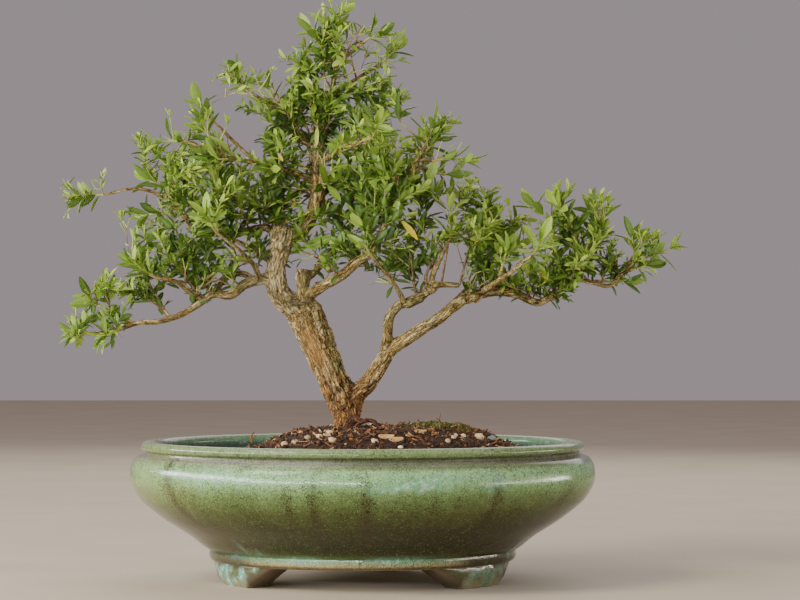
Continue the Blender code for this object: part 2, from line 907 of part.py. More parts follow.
def root_room():
    """The room that the arched root takes from the soil."""
    stations = [(place, radius + ROOT_GAP) for place, radius in limb_stations(ROOT_ARCH)]
    for end in (0, -1):
        place, radius = stations[end]
        stations[end] = (place - Vector((0, 0, ROOT_GAP)), radius)
    return swept(stations, ROOT_ARCH.sides)


def build_soil(material):
    """The soil mound with its litter, the trunk's plain hole and the screens' pockets."""
    heap = combine("soil_blank", soil_body(), litter(), "UNION", material)
    hole_radius = COLLAR_RADIUS + GAP
    hole = prism(COLLAR_CENTRE, hole_radius, COLLAR_BOTTOM - GAP, ABOVE_SOIL, COLLAR_SIDES)
    room = [hole, root_room(), screen_pocket(-1), screen_pocket(1)]
    soil = combine("soil", shape_of(heap), room, "DIFFERENCE", material)
    bpy.data.objects.remove(heap)
    return soil


# Where the twigs and shoots go


@dataclass
class Shoot:
    """A green stem: the stations of the wood that carries it, and the tip of its leaves."""

    number: int
    wood: list
    tip: Vector
    has_own_twig: bool


def mass_tips(rng):
    """Tips spread inside the foliage masses, none near another."""
    tips = []
    for middle, half, count in FOLIAGE_MASSES:
        wanted = len(tips) + count
        while len(tips) < wanted:
            way = Vector([rng.uniform(-1, 1) for _ in range(3)])
            tip = Vector(m + h * w for m, h, w in zip(middle, half, way))
            crowded = any((tip - other).length < MASS_SPACING for other in tips)
            if way.length <= 1 and not crowded:
                tips.append(tip)
    return tips


def end_shoots():
    """The shoots that carry on from the ends of limbs."""
    ends = [limb for limb in LIMBS if limb.shoot_tip is not None]
    return [
        Shoot(number + 1, limb_stations(limb)[-2:], Vector(limb.shoot_tip), False)
        for number, limb in enumerate(ends)
    ]


def plan_shoots():
    """Joins each tip to the nearest wood, nearest first, so that later twigs fork off earlier."""
    rng = random.Random(LEAF_SEED)
    shoots = end_shoots()
    waiting = [Vector(tip) for tip in OUTLINE_TIPS] + mass_tips(rng)
    routes = [limb.route for limb in LIMBS if limb.bears_twigs]
    spots = [spot for route in routes for spot in twig_spots(route)]
    spots = [spot for spot in spots if spot[0].z > LOWEST_TWIG]
    nearest = [min(spots, key=lambda spot: twig_cost(spot[0], tip)) for tip in waiting]
    while waiting:
        costs = [twig_cost(spot[0], tip) for spot, tip in zip(nearest, waiting)]
        chosen = costs.index(min(costs))
        tip = waiting.pop(chosen)
        start, radius = nearest.pop(chosen)
        twig = twig_route(start, radius, tip, rng)
        shoots.append(Shoot(len(shoots) + 1, twig_stations(twig), tip, True))
        for number, other in enumerate(waiting):
            for spot in twig_spots(twig):
                if twig_cost(spot[0], other) < twig_cost(nearest[number][0], other):
                    nearest[number] = spot
    return shoots


def twig_spots(route):
    """Places (place, radius) along a route where a twig may start, short of the route's end."""
    return smooth_route(route, TWIG_SPOT_SPACING)[1:-TWIG_FREE_SPOTS]


def twig_cost(start, tip):
    """How far a twig has to reach from start to tip, dearer where it would grow down."""
    way = tip - start
    return abs(way.length - SHOOT_LENGTH[0]) + TWIG_DOWN_COST * max(0.0, -way.z)


def twig_route(start, radius, tip, rng):
    """Route of the woody twig from a spot on the wood to the seat of a shoot."""
    way = tip - start
    wood_length = max(TWIG_STUB + radius, way.length - rng.uniform(*SHOOT_LENGTH))
    sag = Vector((rng.uniform(-1, 1), rng.uniform(-1, 1), TWIG_BOW_RISE))
    bow = TWIG_BOW * wood_length * sag
    seat = start + way * (wood_length / way.length) + 0.5 * bow
    middle = start.lerp(seat, 0.5) + bow
    tapered = TWIG_END_RADIUS + TWIG_TAPER * wood_length
    thick = max(TWIG_END_RADIUS, min(TWIG_THIN_SHARE * radius, tapered))
    between = 0.5 * (thick + TWIG_END_RADIUS)
    return ((*start, thick), (*middle, between), (*seat, TWIG_END_RADIUS))


def twig_stations(twig):
    """Stations of a twig: straight if it is short, else bowed through its middle."""
    start, middle, seat = twig
    length = (Vector(seat[:3]) - Vector(start[:3])).length
    return smooth_route(twig if length > STRAIGHT_TWIG else (start, seat), length)


def limb_stations(limb):
    mean_radius = sum(knot[3] for knot in limb.route) / len(limb.route)
    return smooth_route(limb.route, LIMB_STEP * (1 + mean_radius))


def shoot_stations(shoot, aim, bow):
    """Stations of a green stem toward aim, which starts the gap past the end of its wood."""
    before, seat = (place for place, _ in shoot.wood[-2:])
    along = (seat - before).normalized()
    start = seat + STEM_GAP * along
    way = aim - start
    tip = start + way * max(STEM_LEAST_SHARE, 1 - LEAF_REACH / way.length)
    reach = (tip - start).length
    elbow = start + STEM_ELBOW * reach * along + STEM_BOW * reach * bow
    middle = 0.25 * start + 0.5 * elbow + 0.25 * tip
    wide, thin = SHOOT_RADIUS
    route = (
        (*start, wide),
        (*(start + STEM_STRAIGHT * along), wide),
        (*middle, 0.5 * (wide + thin)),
        (*tip, thin),
    )
    return smooth_route(route, SHOOT_STEP)


# Wood


def build_wood(shoots, material):
    """The trunk, its branches, its roots and every woody twig, grown as one piece."""
    collar = prism(COLLAR_CENTRE, COLLAR_RADIUS, COLLAR_BOTTOM, COLLAR_TOP, COLLAR_SIDES)
    limbs = (*LIMBS, ROOT_ARCH, ROOT_FLARE)
    shapes = [swept(limb_stations(limb), limb.sides, limb.bark) for limb in limbs]
    shapes += [swept(shoot.wood, TWIG_SIDES) for shoot in shoots if shoot.has_own_twig]
    wood = combine("trunk_and_branches", collar, shapes, "UNION", material)
    shade_smooth(wood, WOOD_SMOOTH_ANGLE)
    return wood


# Leaves


@dataclass
class Blade:
    """Where a leaf sits: its root on the stem's axis, its frame and its length."""

    root: Vector
    along: Vector
    up: Vector
    length: float

    def shape(self, start=0.0, spare=0.0):
        """The leaf: a flat top over a keel. spare widens it for a test of its clearance."""
        half_width = 0.5 * LEAF_WIDTH_SHARE * self.length + spare
        side = self.along.cross(self.up)

        def spine(share):
            return self.root + self.length * (share * self.along - LEAF_DROOP * share**2 * self.up)

        points = [spine(start)]
        for share, width_share, keel_share in LEAF_SECTIONS:
            middle = spine(share)
            points.append(middle + spare * self.up + width_share * half_width * side)
            points.append(middle + spare * self.up - width_share * half_width * side)
            points.append(middle - (keel_share * LEAF_THICKNESS + spare) * self.up)
        points.append(spine(1.0 + spare / self.length))
        top = [(0, 1, 2), (1, 4, 5), (1, 5, 2), (4, 7, 5)]
        under = [(0, 3, 1), (0, 2, 3), (1, 3, 6), (1, 6, 4), (2, 5, 6), (2, 6, 3)]
        end = [(4, 6, 7), (6, 5, 7)]
        return Shape(points, top + under + end)

    def free_part(self, spare):
        """The leaf beyond its stalk, as a tree for tests of what it touches."""
        return self.shape(LEAF_STALK / self.length, spare).tree()


def touches(tree, others):
    return any(tree.overlap(other) for other in others)


def leaf_nodes(stations):
    """Places and directions along a stem where leaves sit in pairs, the last at its tip."""
    places = [place for place, _ in stations]
    steps = list(zip(places, places[1:]))
    lengths = [(end - start).length for start, end in steps]
    count = max(2, round(sum(lengths) / LEAF_SPACING))
    nodes = []
    for number in range(1, count + 1):
        reach = sum(lengths) * number / count - LEAF_END_MARGIN
        for (start, end), length in zip(steps, lengths):
            if reach <= length:
                nodes.append((start.lerp(end, reach / length), (end - start).normalized()))
                break
            reach -= length
    return nodes


def try_leaf(place, tangent, roll, lean_range, rng, trees):
    """A leaf at a node that clears all else, after a few draws, or None."""
    across = tangent.orthogonal().normalized()
    for attempt in range(LEAF_TRIES):
        stray = rng.uniform(-LEAF_ROLL_STRAY, LEAF_ROLL_STRAY) * (1 + attempt)
        turn = Matrix.Rotation(roll + stray, 3, tangent)
        lean = math.radians(rng.uniform(*lean_range))
        along = math.cos(lean) * tangent + math.sin(lean) * (turn @ across)
        along = (along + Vector((0, 0, LEAF_RISE))).normalized()
        up = (tangent - tangent.dot(along) * along).normalized()
        length = rng.uniform(*LEAF_LENGTH) * (1 - LEAF_SHRINK * attempt)
        blade = Blade(place, along, up, length)
        if not touches(blade.free_part(LEAF_CLEARANCE), trees):
            return blade
    return None


def leaves_of(stations, rng, trees):
    """Leaves in pairs along a stem, each pair a quarter turn from the last, and two at its tip."""
    nodes = leaf_nodes(stations)
    pairs = [(*node, SIDE_LEAN) for node in nodes] + [(*nodes[-1], TIP_LEAN)]
    roll = rng.uniform(0, math.tau)
    blades = []
    own_trees = []
    for place, tangent, lean_range in pairs:
        for side in (0.0, math.pi):
            blade = try_leaf(place, tangent, roll + side, lean_range, rng, trees + own_trees)
            if blade is not None:
                blades.append(blade)
                own_trees.append(blade.free_part(0.0))
        roll += math.pi / 2
    return blades


def choose_stem(shoot, rng, trees):
    """The stem's stations, with a bow that clears the wood and the other stems, or None."""
    for attempt in range(STEM_TRIES):
        bow = Vector((rng.uniform(-1, 1), rng.uniform(-1, 1), rng.uniform(*STEM_BOW_RISE)))
        aim = shoot.tip + STEM_STRAY * attempt * Vector([rng.uniform(-1, 1) for _ in range(3)])
        stations = shoot_stations(shoot, aim, bow)
        free = [(place, radius + LEAF_CLEARANCE) for place, radius in stations[1:]]
        solid = swept(stations, SHOOT_SIDES).tree()
        if not touches(solid, trees) and not touches(swept(free, SHOOT_SIDES).tree(), trees):
            return stations
    return None


def build_sprays(shoots, wood, material):
    """A node for each green shoot with its leaves, clear of all the others."""
    solids = {0: shape_of(wood).tree()}
    stems = {}
    for shoot in shoots:
        rng = random.Random(1000 * LEAF_SEED + shoot.number)
        stations = choose_stem(shoot, rng, list(solids.values()))
        if stations is not None:
            stems[shoot.number] = stations
            solids[shoot.number] = swept(stations, SHOOT_SIDES).tree()
    for number, stations in stems.items():
        rng = random.Random(2000 * LEAF_SEED + number)
        others = [tree for key, tree in solids.items() if key != number]
        blades = [blade.shape() for blade in leaves_of(stations, rng, others)]
        stem = swept(stations, SHOOT_SIDES)
        spray = combine(f"leaf_spray_{number:02d}", stem, blades, "UNION", material)
        solids[number] = shape_of(spray).tree()


# The part's frame


def centre_on_origin():
    """Moves every body so that the origin lies under the middle of the part's box."""
    corners = [
        body.matrix_world @ Vector(corner)
        for body in bpy.data.objects
        for corner in body.bound_box
    ]
    low = [min(corner[axis] for corner in corners) for axis in range(3)]
    high = [max(corner[axis] for corner in corners) for axis in range(3)]
    shift = Vector((-(low[0] + high[0]) / 2, -(low[1] + high[1]) / 2, -low[2]))
    for body in bpy.data.objects:
        body.location += shift


def main():
    for leftover in list(bpy.data.objects):
        bpy.data.objects.remove(leftover)
    materials = part_materials()
    build_pot(materials["glaze"])
    build_screen("drain_screen_left", -1, materials["screen"])
    build_screen("drain_screen_right", 1, materials["screen"])
    build_soil(materials["soil"])
    shoots = plan_shoots()
    wood = build_wood(shoots, materials["bark"])
    build_sprays(shoots, wood, materials["leaf"])
    bpy.context.view_layer.update()
    centre_on_origin()


main()
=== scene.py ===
"""Serissa bonsai in a round glazed pot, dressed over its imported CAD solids.

Sizes are millimetres and angles are radians, unless a name says otherwise. Points are given
from the pot's axis, with the feet on Z = 0 and the front of the tree toward -Y. The class
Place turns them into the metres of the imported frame.
"""

import json
import logging
import math
import random
from collections.abc import Sequence
from dataclasses import dataclass, field, replace
from enum import Enum
from itertools import product

import bmesh
import bpy
import numpy as np
from mathutils import Matrix, Vector, noise
from mathutils.kdtree import KDTree

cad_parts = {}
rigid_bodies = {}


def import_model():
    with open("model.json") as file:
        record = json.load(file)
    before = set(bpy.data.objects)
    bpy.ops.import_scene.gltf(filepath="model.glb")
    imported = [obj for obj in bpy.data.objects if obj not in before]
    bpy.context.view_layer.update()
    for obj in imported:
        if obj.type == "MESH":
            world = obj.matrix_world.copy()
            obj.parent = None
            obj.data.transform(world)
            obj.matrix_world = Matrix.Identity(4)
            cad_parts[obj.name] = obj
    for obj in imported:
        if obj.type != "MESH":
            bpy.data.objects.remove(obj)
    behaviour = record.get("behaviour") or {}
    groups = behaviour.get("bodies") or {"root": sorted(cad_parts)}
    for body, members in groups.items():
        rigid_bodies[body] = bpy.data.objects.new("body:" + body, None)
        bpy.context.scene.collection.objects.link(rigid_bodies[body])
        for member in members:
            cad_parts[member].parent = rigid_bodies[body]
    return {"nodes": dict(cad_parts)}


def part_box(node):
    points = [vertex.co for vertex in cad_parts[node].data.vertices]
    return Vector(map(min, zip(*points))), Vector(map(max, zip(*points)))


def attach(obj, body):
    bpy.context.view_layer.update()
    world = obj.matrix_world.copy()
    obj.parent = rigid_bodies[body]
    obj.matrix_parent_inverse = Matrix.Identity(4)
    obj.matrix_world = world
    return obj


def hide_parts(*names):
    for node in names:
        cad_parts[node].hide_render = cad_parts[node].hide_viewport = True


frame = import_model()

LOG = logging.getLogger("bonsai")
METRES_PER_MM = 0.001
# Without a seed of its own, the vector noise would differ from run to run
NOISE_SEED = 5

Material = bpy.types.Material
Mesh = bpy.types.Mesh
Node = bpy.types.Node
Body = bpy.types.Object
Socket = bpy.types.NodeSocket
Stations = list[tuple[Vector, float]]


# Helpers for every piece


class Place:
    """Where the pot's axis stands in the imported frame."""

    low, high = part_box("pot")
    axis = Vector(((low.x + high.x) / 2, (low.y + high.y) / 2, 0))

    @classmethod
    def to_frame(cls, point: Vector) -> Vector:
        """The place in the frame, in metres, of a point given from the pot's axis."""
        return cls.axis + METRES_PER_MM * point

    @classmethod
    def from_frame(cls, point: Vector) -> Vector:
        """The point from the pot's axis, in millimetres, of a place in the frame."""
        return (point - cls.axis) / METRES_PER_MM


def linear(hex_colour: str) -> tuple[float, float, float, float]:
    """Turns an sRGB hex colour such as "#92A07A" to linear RGBA."""
    parts = [int(hex_colour[start : start + 2], 16) / 255 for start in (1, 3, 5)]
    flat = [p / 12.92 if p <= 0.04045 else ((p + 0.055) / 1.055) ** 2.4 for p in parts]
    return (*flat, 1.0)


def smoothstep(low: float, high: float, value: float) -> float:
    """A soft step from 0 at low to 1 at high."""
    share = min(1.0, max(0.0, (value - low) / (high - low)))
    return share * share * (3 - 2 * share)


def squared(way: Vector, to: Vector) -> Vector:
    """The unit vector nearest to a way that stands square to another unit vector."""
    return (way - way.dot(to) * to).normalized()


def stray(rng: random.Random) -> Vector:
    """A random vector inside the cube from -1 to 1."""
    return Vector([rng.uniform(-1, 1) for _ in range(3)])


def add_node(tree: bpy.types.NodeTree, kind: str, inputs: dict | None = None, **settings) -> Node:
    """Adds a node with its settings and its inputs.

    Args:
        tree: the material's or modifier's node tree.
        kind: the node's type name.
        inputs: values or output sockets, by the input's name or number.
        settings: the node's own properties.

    Returns:
        The node.
    """
    made = tree.nodes.new(kind)
    for name, value in settings.items():
        setattr(made, name, value)
    for name, value in (inputs or {}).items():
        if isinstance(value, Socket):
            tree.links.new(value, made.inputs[name])
        else:
            made.inputs[name].default_value = value
    return made


class Paint:
    """A new material with its colour so far, and short words for the nodes that most materials use."""

    def __init__(self, name: str) -> None:
        """Makes the material, its Principled shader and its object coordinates."""
        self.material = bpy.data.materials.new(name)
        self.material.use_nodes = True
        self.tree = self.material.node_tree
        self.shader = self.tree.nodes["Principled BSDF"]
        self.place = self.node("ShaderNodeTexCoord").outputs["Object"]
        self.colour: Socket | None = None

    def node(self, kind: str, inputs: dict | None = None, **settings) -> Node:
        """Adds a node to the material."""
        return add_node(self.tree, kind, inputs, **settings)

    def maths(self, operation: str, *values, clamp: bool = False) -> Socket:
        """The result of a Math node on numbers or sockets."""
        inputs = dict(enumerate(values))
        return self.node("ShaderNodeMath", inputs, operation=operation, use_clamp=clamp).outputs[0]

    def times(self, first, *others) -> Socket:
        """The product of numbers or sockets."""
        for other in others:
            first = self.maths("MULTIPLY", first, other)
        return first

    def scaled(self, value: Socket, scale: float, base) -> Socket:
        """A value times a scale, on top of a base, which is a number or a socket."""
        return self.maths("MULTIPLY_ADD", value, scale, base)

    def band(self, value: Socket, low: float, high: float) -> Socket:
        """A soft step of a value, from 0 at low to 1 at high."""
        inputs = {"Value": value, "From Min": low, "From Max": high}
        return self.node("ShaderNodeMapRange", inputs, interpolation_type="SMOOTHSTEP").outputs["Result"]

    def within(self, axes: dict, *spans: tuple[str, float, float]) -> Socket:
        """Where the object lies in every span (axis, from, to in millimetres), each with a soft end."""
        scale = METRES_PER_MM
        return self.times(*(self.band(axes[axis], scale * low, scale * high) for axis, low, high in spans))

    def attribute(self, name: str, output: str = "Fac") -> Socket:
        """Reads a named attribute of the mesh."""
        return self.node("ShaderNodeAttribute", attribute_name=name).outputs[output]

    def axes(self, vector: Socket) -> dict:
        """The X, Y and Z of a vector."""
        return self.node("ShaderNodeSeparateXYZ", {"Vector": vector}).outputs

    def grain(self, size_mm: float, vector: Socket | None = None, **settings) -> Socket:
        """A noise from 0 to 1 whose features are about size_mm across.

        Args:
            size_mm: the size of a feature.
            vector: the coordinates in metres, or None for the object's.
            settings: "detail", "roughness" or "distortion".

        Returns:
            The noise's value.
        """
        inputs = {"Vector": vector or self.place, "Scale": 1 / (size_mm * METRES_PER_MM)}
        inputs |= {name.capitalize(): value for name, value in settings.items()}
        return self.node("ShaderNodeTexNoise", inputs).outputs["Fac"]

    def cell_edges(self, vector: Socket, size_mm: float) -> Socket:
        """How far a place is from the edge of its cell, in a pattern of cells size_mm across."""
        inputs = {"Vector": vector, "Scale": 1 / (size_mm * METRES_PER_MM)}
        return self.node("ShaderNodeTexVoronoi", inputs, feature="DISTANCE_TO_EDGE").outputs["Distance"]

    def along_limb(self, vector: Socket, scale: float) -> Socket:
        """Limb coordinates scaled along the limb, so that a pattern on them grows long."""
        return self.node("ShaderNodeMapping", {"Vector": vector, "Scale": (1.0, 1.0, scale)}).outputs[0]

    def ramp(self, factor: Socket, stops: Sequence[tuple[float, str]]) -> Socket:
        """A colour ramp through stops (position, hex colour) in rising order."""
        made = self.node("ShaderNodeValToRGB", {"Fac": factor})
        elements = made.color_ramp.elements
        while len(elements) < len(stops):
            elements.new(0.5)
        for element, (position, colour) in zip(elements, stops):
            element.position = position
            element.color = linear(colour)
        return made.outputs["Color"]

    def mix(self, share, first, second, blend: str = "MIX") -> Socket:
        """Mixes two colours.

        Args:
            share: how much of the second shows, a number or a socket.
            first: a socket or a hex colour.
            second: a socket or a hex colour.
            blend: the way of mixing.

        Returns:
            The mixed colour.
        """
        first, second = (linear(part) if isinstance(part, str) else part for part in (first, second))
        inputs = {0: share, 6: first, 7: second}
        return self.node("ShaderNodeMix", inputs, data_type="RGBA", blend_type=blend).outputs[2]

    def lay(self, colour, *shares, blend: str = "MIX") -> None:
        """Lays a colour over the colour so far, as far as the product of the shares says."""
        self.colour = self.mix(self.times(*shares), self.colour, colour, blend)

    def bump(self, height: Socket, depth_mm: float, strength: float) -> Socket:
        """The normal of a relief that is depth_mm deep from 0 to 1."""
        inputs = {"Height": height, "Distance": depth_mm * METRES_PER_MM, "Strength": strength}
        return self.node("ShaderNodeBump", inputs).outputs["Normal"]

    def finish(self, roughness, normal: Socket | None = None, ior: float | None = None) -> Material:
        """Sets the shader's inputs.

        Args:
            roughness: a number or a socket.
            normal: the relief's normal, or None for a plain face.
            ior: the index of refraction, or None for the shader's own.

        Returns:
            The material.
        """
        inputs = {"Base Color": self.colour, "Roughness": roughness, "Normal": normal, "IOR": ior}
        for name, value in inputs.items():
            if isinstance(value, Socket):
                self.tree.links.new(value, self.shader.inputs[name])
            elif value is not None:
                self.shader.inputs[name].default_value = value
        return self.material


def set_values(mesh: Mesh, values: dict[str, Sequence]) -> None:
    """Stores named values on the points of a mesh: numbers, whole numbers or vectors."""
    kinds = {int: ("INT", "value", np.int32), float: ("FLOAT", "value", np.float32)}
    for name, numbers in values.items():
        kind, slot, number_type = kinds.get(type(numbers[0]), ("FLOAT_VECTOR", "vector", np.float32))
        data = mesh.attributes.new(name, kind, "POINT").data
        data.foreach_set(slot, np.array(numbers, number_type).ravel())


def point_mesh(name: str, points: list[Vector], values: dict[str, Sequence], edges: Sequence = ()) -> Mesh:
    """A mesh of points in the frame's metres for a NodeTool to start from.

    Args:
        name: the mesh's name.
        points: its points, in millimetres from the pot's axis.
        values: what each point carries.
        edges: pairs of points that are joined.

    Returns:
        The mesh.
    """
    mesh = bpy.data.meshes.new(name)
    mesh.from_pydata([Place.to_frame(point) for point in points], edges, [])
    set_values(mesh, values)
    return mesh


@dataclass
class Shape:
    """A mesh in millimetres from the pot's axis, with values for each of its points."""

    points: list[Vector] = field(default_factory=list)
    faces: list[tuple[int, ...]] = field(default_factory=list)
    values: dict[str, list] = field(default_factory=dict)

    def add(self, other: "Shape") -> None:
        """Appends another shape, which has the same values."""
        start = len(self.points)
        self.points += other.points
        self.faces += [tuple(start + corner for corner in face) for face in other.faces]
        for name, numbers in other.values.items():
            self.values.setdefault(name, []).extend(numbers)

    def mesh(self, name: str) -> Mesh:
        """The shape as a smooth mesh in the frame's metres, with faces that point out if it is closed."""
        mesh = bpy.data.meshes.new(name)
        mesh.from_pydata([Place.to_frame(point) for point in self.points], [], self.faces)
        set_values(mesh, self.values)
        mesh.shade_smooth()
        return outward(mesh)


def outward(mesh: Mesh) -> Mesh:
    """Turns a closed mesh's faces outward."""
    bm = bmesh.new()
    bm.from_mesh(mesh)
    bmesh.ops.recalc_face_normals(bm, faces=bm.faces[:])
    bm.to_mesh(mesh)
    bm.free()
    return mesh


def add_object(name: str, mesh: Mesh, material: Material | None = None) -> Body:
    """Puts a mesh in the scene.

    Args:
        name: the object's name.
        mesh: its mesh, in the frame's metres.
        material: what it is made of, or None to keep the mesh's own.

    Returns:
        The object, at the origin.
    """
    mesh.name = name
    body = bpy.data.objects.new(name, mesh)
    if material is not None:
        mesh.materials.clear()
        mesh.materials.append(material)
    bpy.context.scene.collection.objects.link(body)
    return body


def finish_piece(body: Body, slot: str, *nodes: str) -> None:
    """Makes a piece ride on the part and stand for CAD nodes."""
    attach(body, "root")
    if nodes:
        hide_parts(*nodes)
    LOG.info("%s: %d faces", body.name, len(body.data.polygons))


def evaluated_mesh(body: Body) -> Mesh:
    """The object's mesh with its modifiers applied, as a new mesh."""
    depsgraph = bpy.context.evaluated_depsgraph_get()
    return bpy.data.meshes.new_from_object(body.evaluated_get(depsgraph), depsgraph=depsgraph)


def hold_shapes(name: str, meshes: Sequence[Mesh]) -> bpy.types.Collection:
    """A collection of shapes for a NodeTool to pick from, numbered in their order."""
    held = bpy.data.collections.new(name)
    bpy.context.scene.collection.children.link(held)
    for number, mesh in enumerate(meshes):
        held.objects.link(bpy.data.objects.new(f"{name}_{number:02d}", mesh))
    return held


def drop_shapes(held: bpy.types.Collection) -> None:
    """Removes such a collection and its objects."""
    for shape in list(held.objects):
        bpy.data.objects.remove(shape)
    bpy.data.collections.remove(held)


class NodeTool:
    """A Geometry Nodes tree with named inputs, built in code and applied to one mesh."""

    kinds = {
        bpy.types.Object: "Object",
        Material: "Material",
        int: "Int",
        float: "Float",
        bpy.types.Collection: "Collection",
    }

    def __init__(self, name: str, sizes: dict[str, object]) -> None:
        """Makes the tree with its geometry sockets and its named inputs.

        Args:
            name: the tree's name.
            sizes: the inputs' values by name, each of a kind above.
        """
        self.tree = bpy.data.node_groups.new(name, "GeometryNodeTree")
        self.sizes = sizes
        face = self.tree.interface
        face.new_socket("Geometry", in_out="INPUT", socket_type="NodeSocketGeometry")
        self.sockets = {}
        for key, value in sizes.items():
            kind = next(word for known, word in self.kinds.items() if isinstance(value, known))
            self.sockets[key] = face.new_socket(key, in_out="INPUT", socket_type="NodeSocket" + kind)
        face.new_socket("Geometry", in_out="OUTPUT", socket_type="NodeSocketGeometry")
        self.source = self.tree.nodes.new("NodeGroupInput")

    def size(self, name: str) -> Socket:
        """The socket of a named input."""
        return self.source.outputs[name]

    def add(self, kind: str, inputs: dict | None = None, **settings) -> Node:
        """Adds a node to the tree."""
        return add_node(self.tree, kind, inputs, **settings)

    def named(self, name: str, kind: str = "FLOAT") -> Socket:
        """The value of a named attribute of the points."""
        made = self.add("GeometryNodeInputNamedAttribute", {"Name": name}, data_type=kind)
        return made.outputs["Attribute"]

    def instances(self, index: Socket, turn: Socket, size: Socket) -> Socket:
        """Sets a shape on every point.

        Args:
            index: which of the input "Shapes" it is.
            turn: its rotation.
            size: its scale.

        Returns:
            The instances.
        """
        inputs = {"Collection": self.size("Shapes"), "Separate Children": True, "Reset Children": True}
        shapes = self.add("GeometryNodeCollectionInfo", inputs)
        inputs = {"Points": self.size("Geometry"), "Instance": shapes.outputs[0], "Pick Instance": True}
        inputs |= {"Instance Index": index, "Rotation": turn, "Scale": size}
        return self.add("GeometryNodeInstanceOnPoints", inputs).outputs[0]

    def run(self, name: str, mesh: Mesh, geometry: Socket) -> Body:
        """Ends the tree in Realize Instances and Set Material, and runs it on a mesh.

        Args:
            name: the new piece's name.
            mesh: what the tree starts from.
            geometry: what the tree makes of it.

        Returns:
            The piece, a plain mesh without the modifier.
        """
        real = self.add("GeometryNodeRealizeInstances", {"Geometry": geometry})
        inputs = {"Geometry": real.outputs[0], "Material": self.size("Material")}
        dressed = self.add("GeometryNodeSetMaterial", inputs)
        self.add("NodeGroupOutput", {"Geometry": dressed.outputs[0]})
        body = add_object(name, mesh)
        modifier = body.modifiers.new(name, "NODES")
        modifier.node_group = self.tree
        for key, value in self.sizes.items():
            modifier[self.sockets[key].identifier] = value
        made = evaluated_mesh(body)
        body.modifiers.clear()
        body.data = made
        made.name = name
        return body


# Turned and swept shapes


def smooth_route(route: Sequence[Sequence[float]], spacing: float) -> Stations:
    """A Catmull-Rom curve through a route of (x, y, z, radius).

    Args:
        route: the knots.
        spacing: how far apart the stations are, at most about.

    Returns:
        Stations (place, radius).
    """
    knots = [Vector(knot) for knot in route]
    knots = [2 * knots[0] - knots[1], *knots, 2 * knots[-1] - knots[-2]]
    stations = []
    for number in range(1, len(knots) - 2):
        before, start, end, after = knots[number - 1 : number + 3]
        steps = max(1, round((end - start).length / spacing))
        for step in range(steps):
            share = step / steps
            place = 0.5 * (
                2 * start
                + (end - before) * share
                + (2 * before - 5 * start + 4 * end - after) * share**2
                + (3 * start - before - 3 * end + after) * share**3
            )
            stations.append((place.to_3d(), place[3]))
    stations.append((knots[-2].to_3d(), knots[-2][3]))
    return stations


def directions(places: Sequence[Vector]) -> list[Vector]:
    """Unit tangents at the places of a route."""
    last = len(places) - 1
    pairs = ((places[max(number - 1, 0)], places[min(number + 1, last)]) for number in range(last + 1))
    return [(after - before).normalized() for before, after in pairs]


def rings(row_count: int, sides: int, first: int = 0) -> list[tuple[int, ...]]:
    """Quads between rows of points that close on themselves.

    Args:
        row_count: how many rows there are.
        sides: points in a row.
        first: the index of the first point.

    Returns:
        The faces.
    """
    faces = []
    for row in range(row_count - 1):
        for number in range(sides):
            after = (number + 1) % sides
            low = first + row * sides
            high = low + sides
            faces.append((low + number, low + after, high + after, high + number))
    return faces


def framed(stations: Stations) -> list[tuple]:
    """Rows (place, radius, tangent, across, other) with two axes that turn as little as they can."""
    tangents = directions([place for place, _ in stations])
    across = tangents[0].orthogonal().normalized()
    rows = []
    for (place, radius), tangent in zip(stations, tangents):
        across = squared(across, tangent)
        rows.append((place, radius, tangent, across, tangent.cross(across)))
    return rows


def tube(stations: Stations, sides: int) -> Shape:
    """A tube along stations (place, radius), with its ends closed."""
    points = []
    for place, radius, _, across, other in framed(stations):
        for number in range(sides):
            angle = math.tau * number / sides
            way = math.cos(angle) * across + math.sin(angle) * other
            points.append(place + radius * way)
    last = len(points) - sides
    ends = [tuple(range(sides - 1, -1, -1)), tuple(range(last, last + sides))]
    return Shape(points, rings(len(stations), sides) + ends)


# Finishes


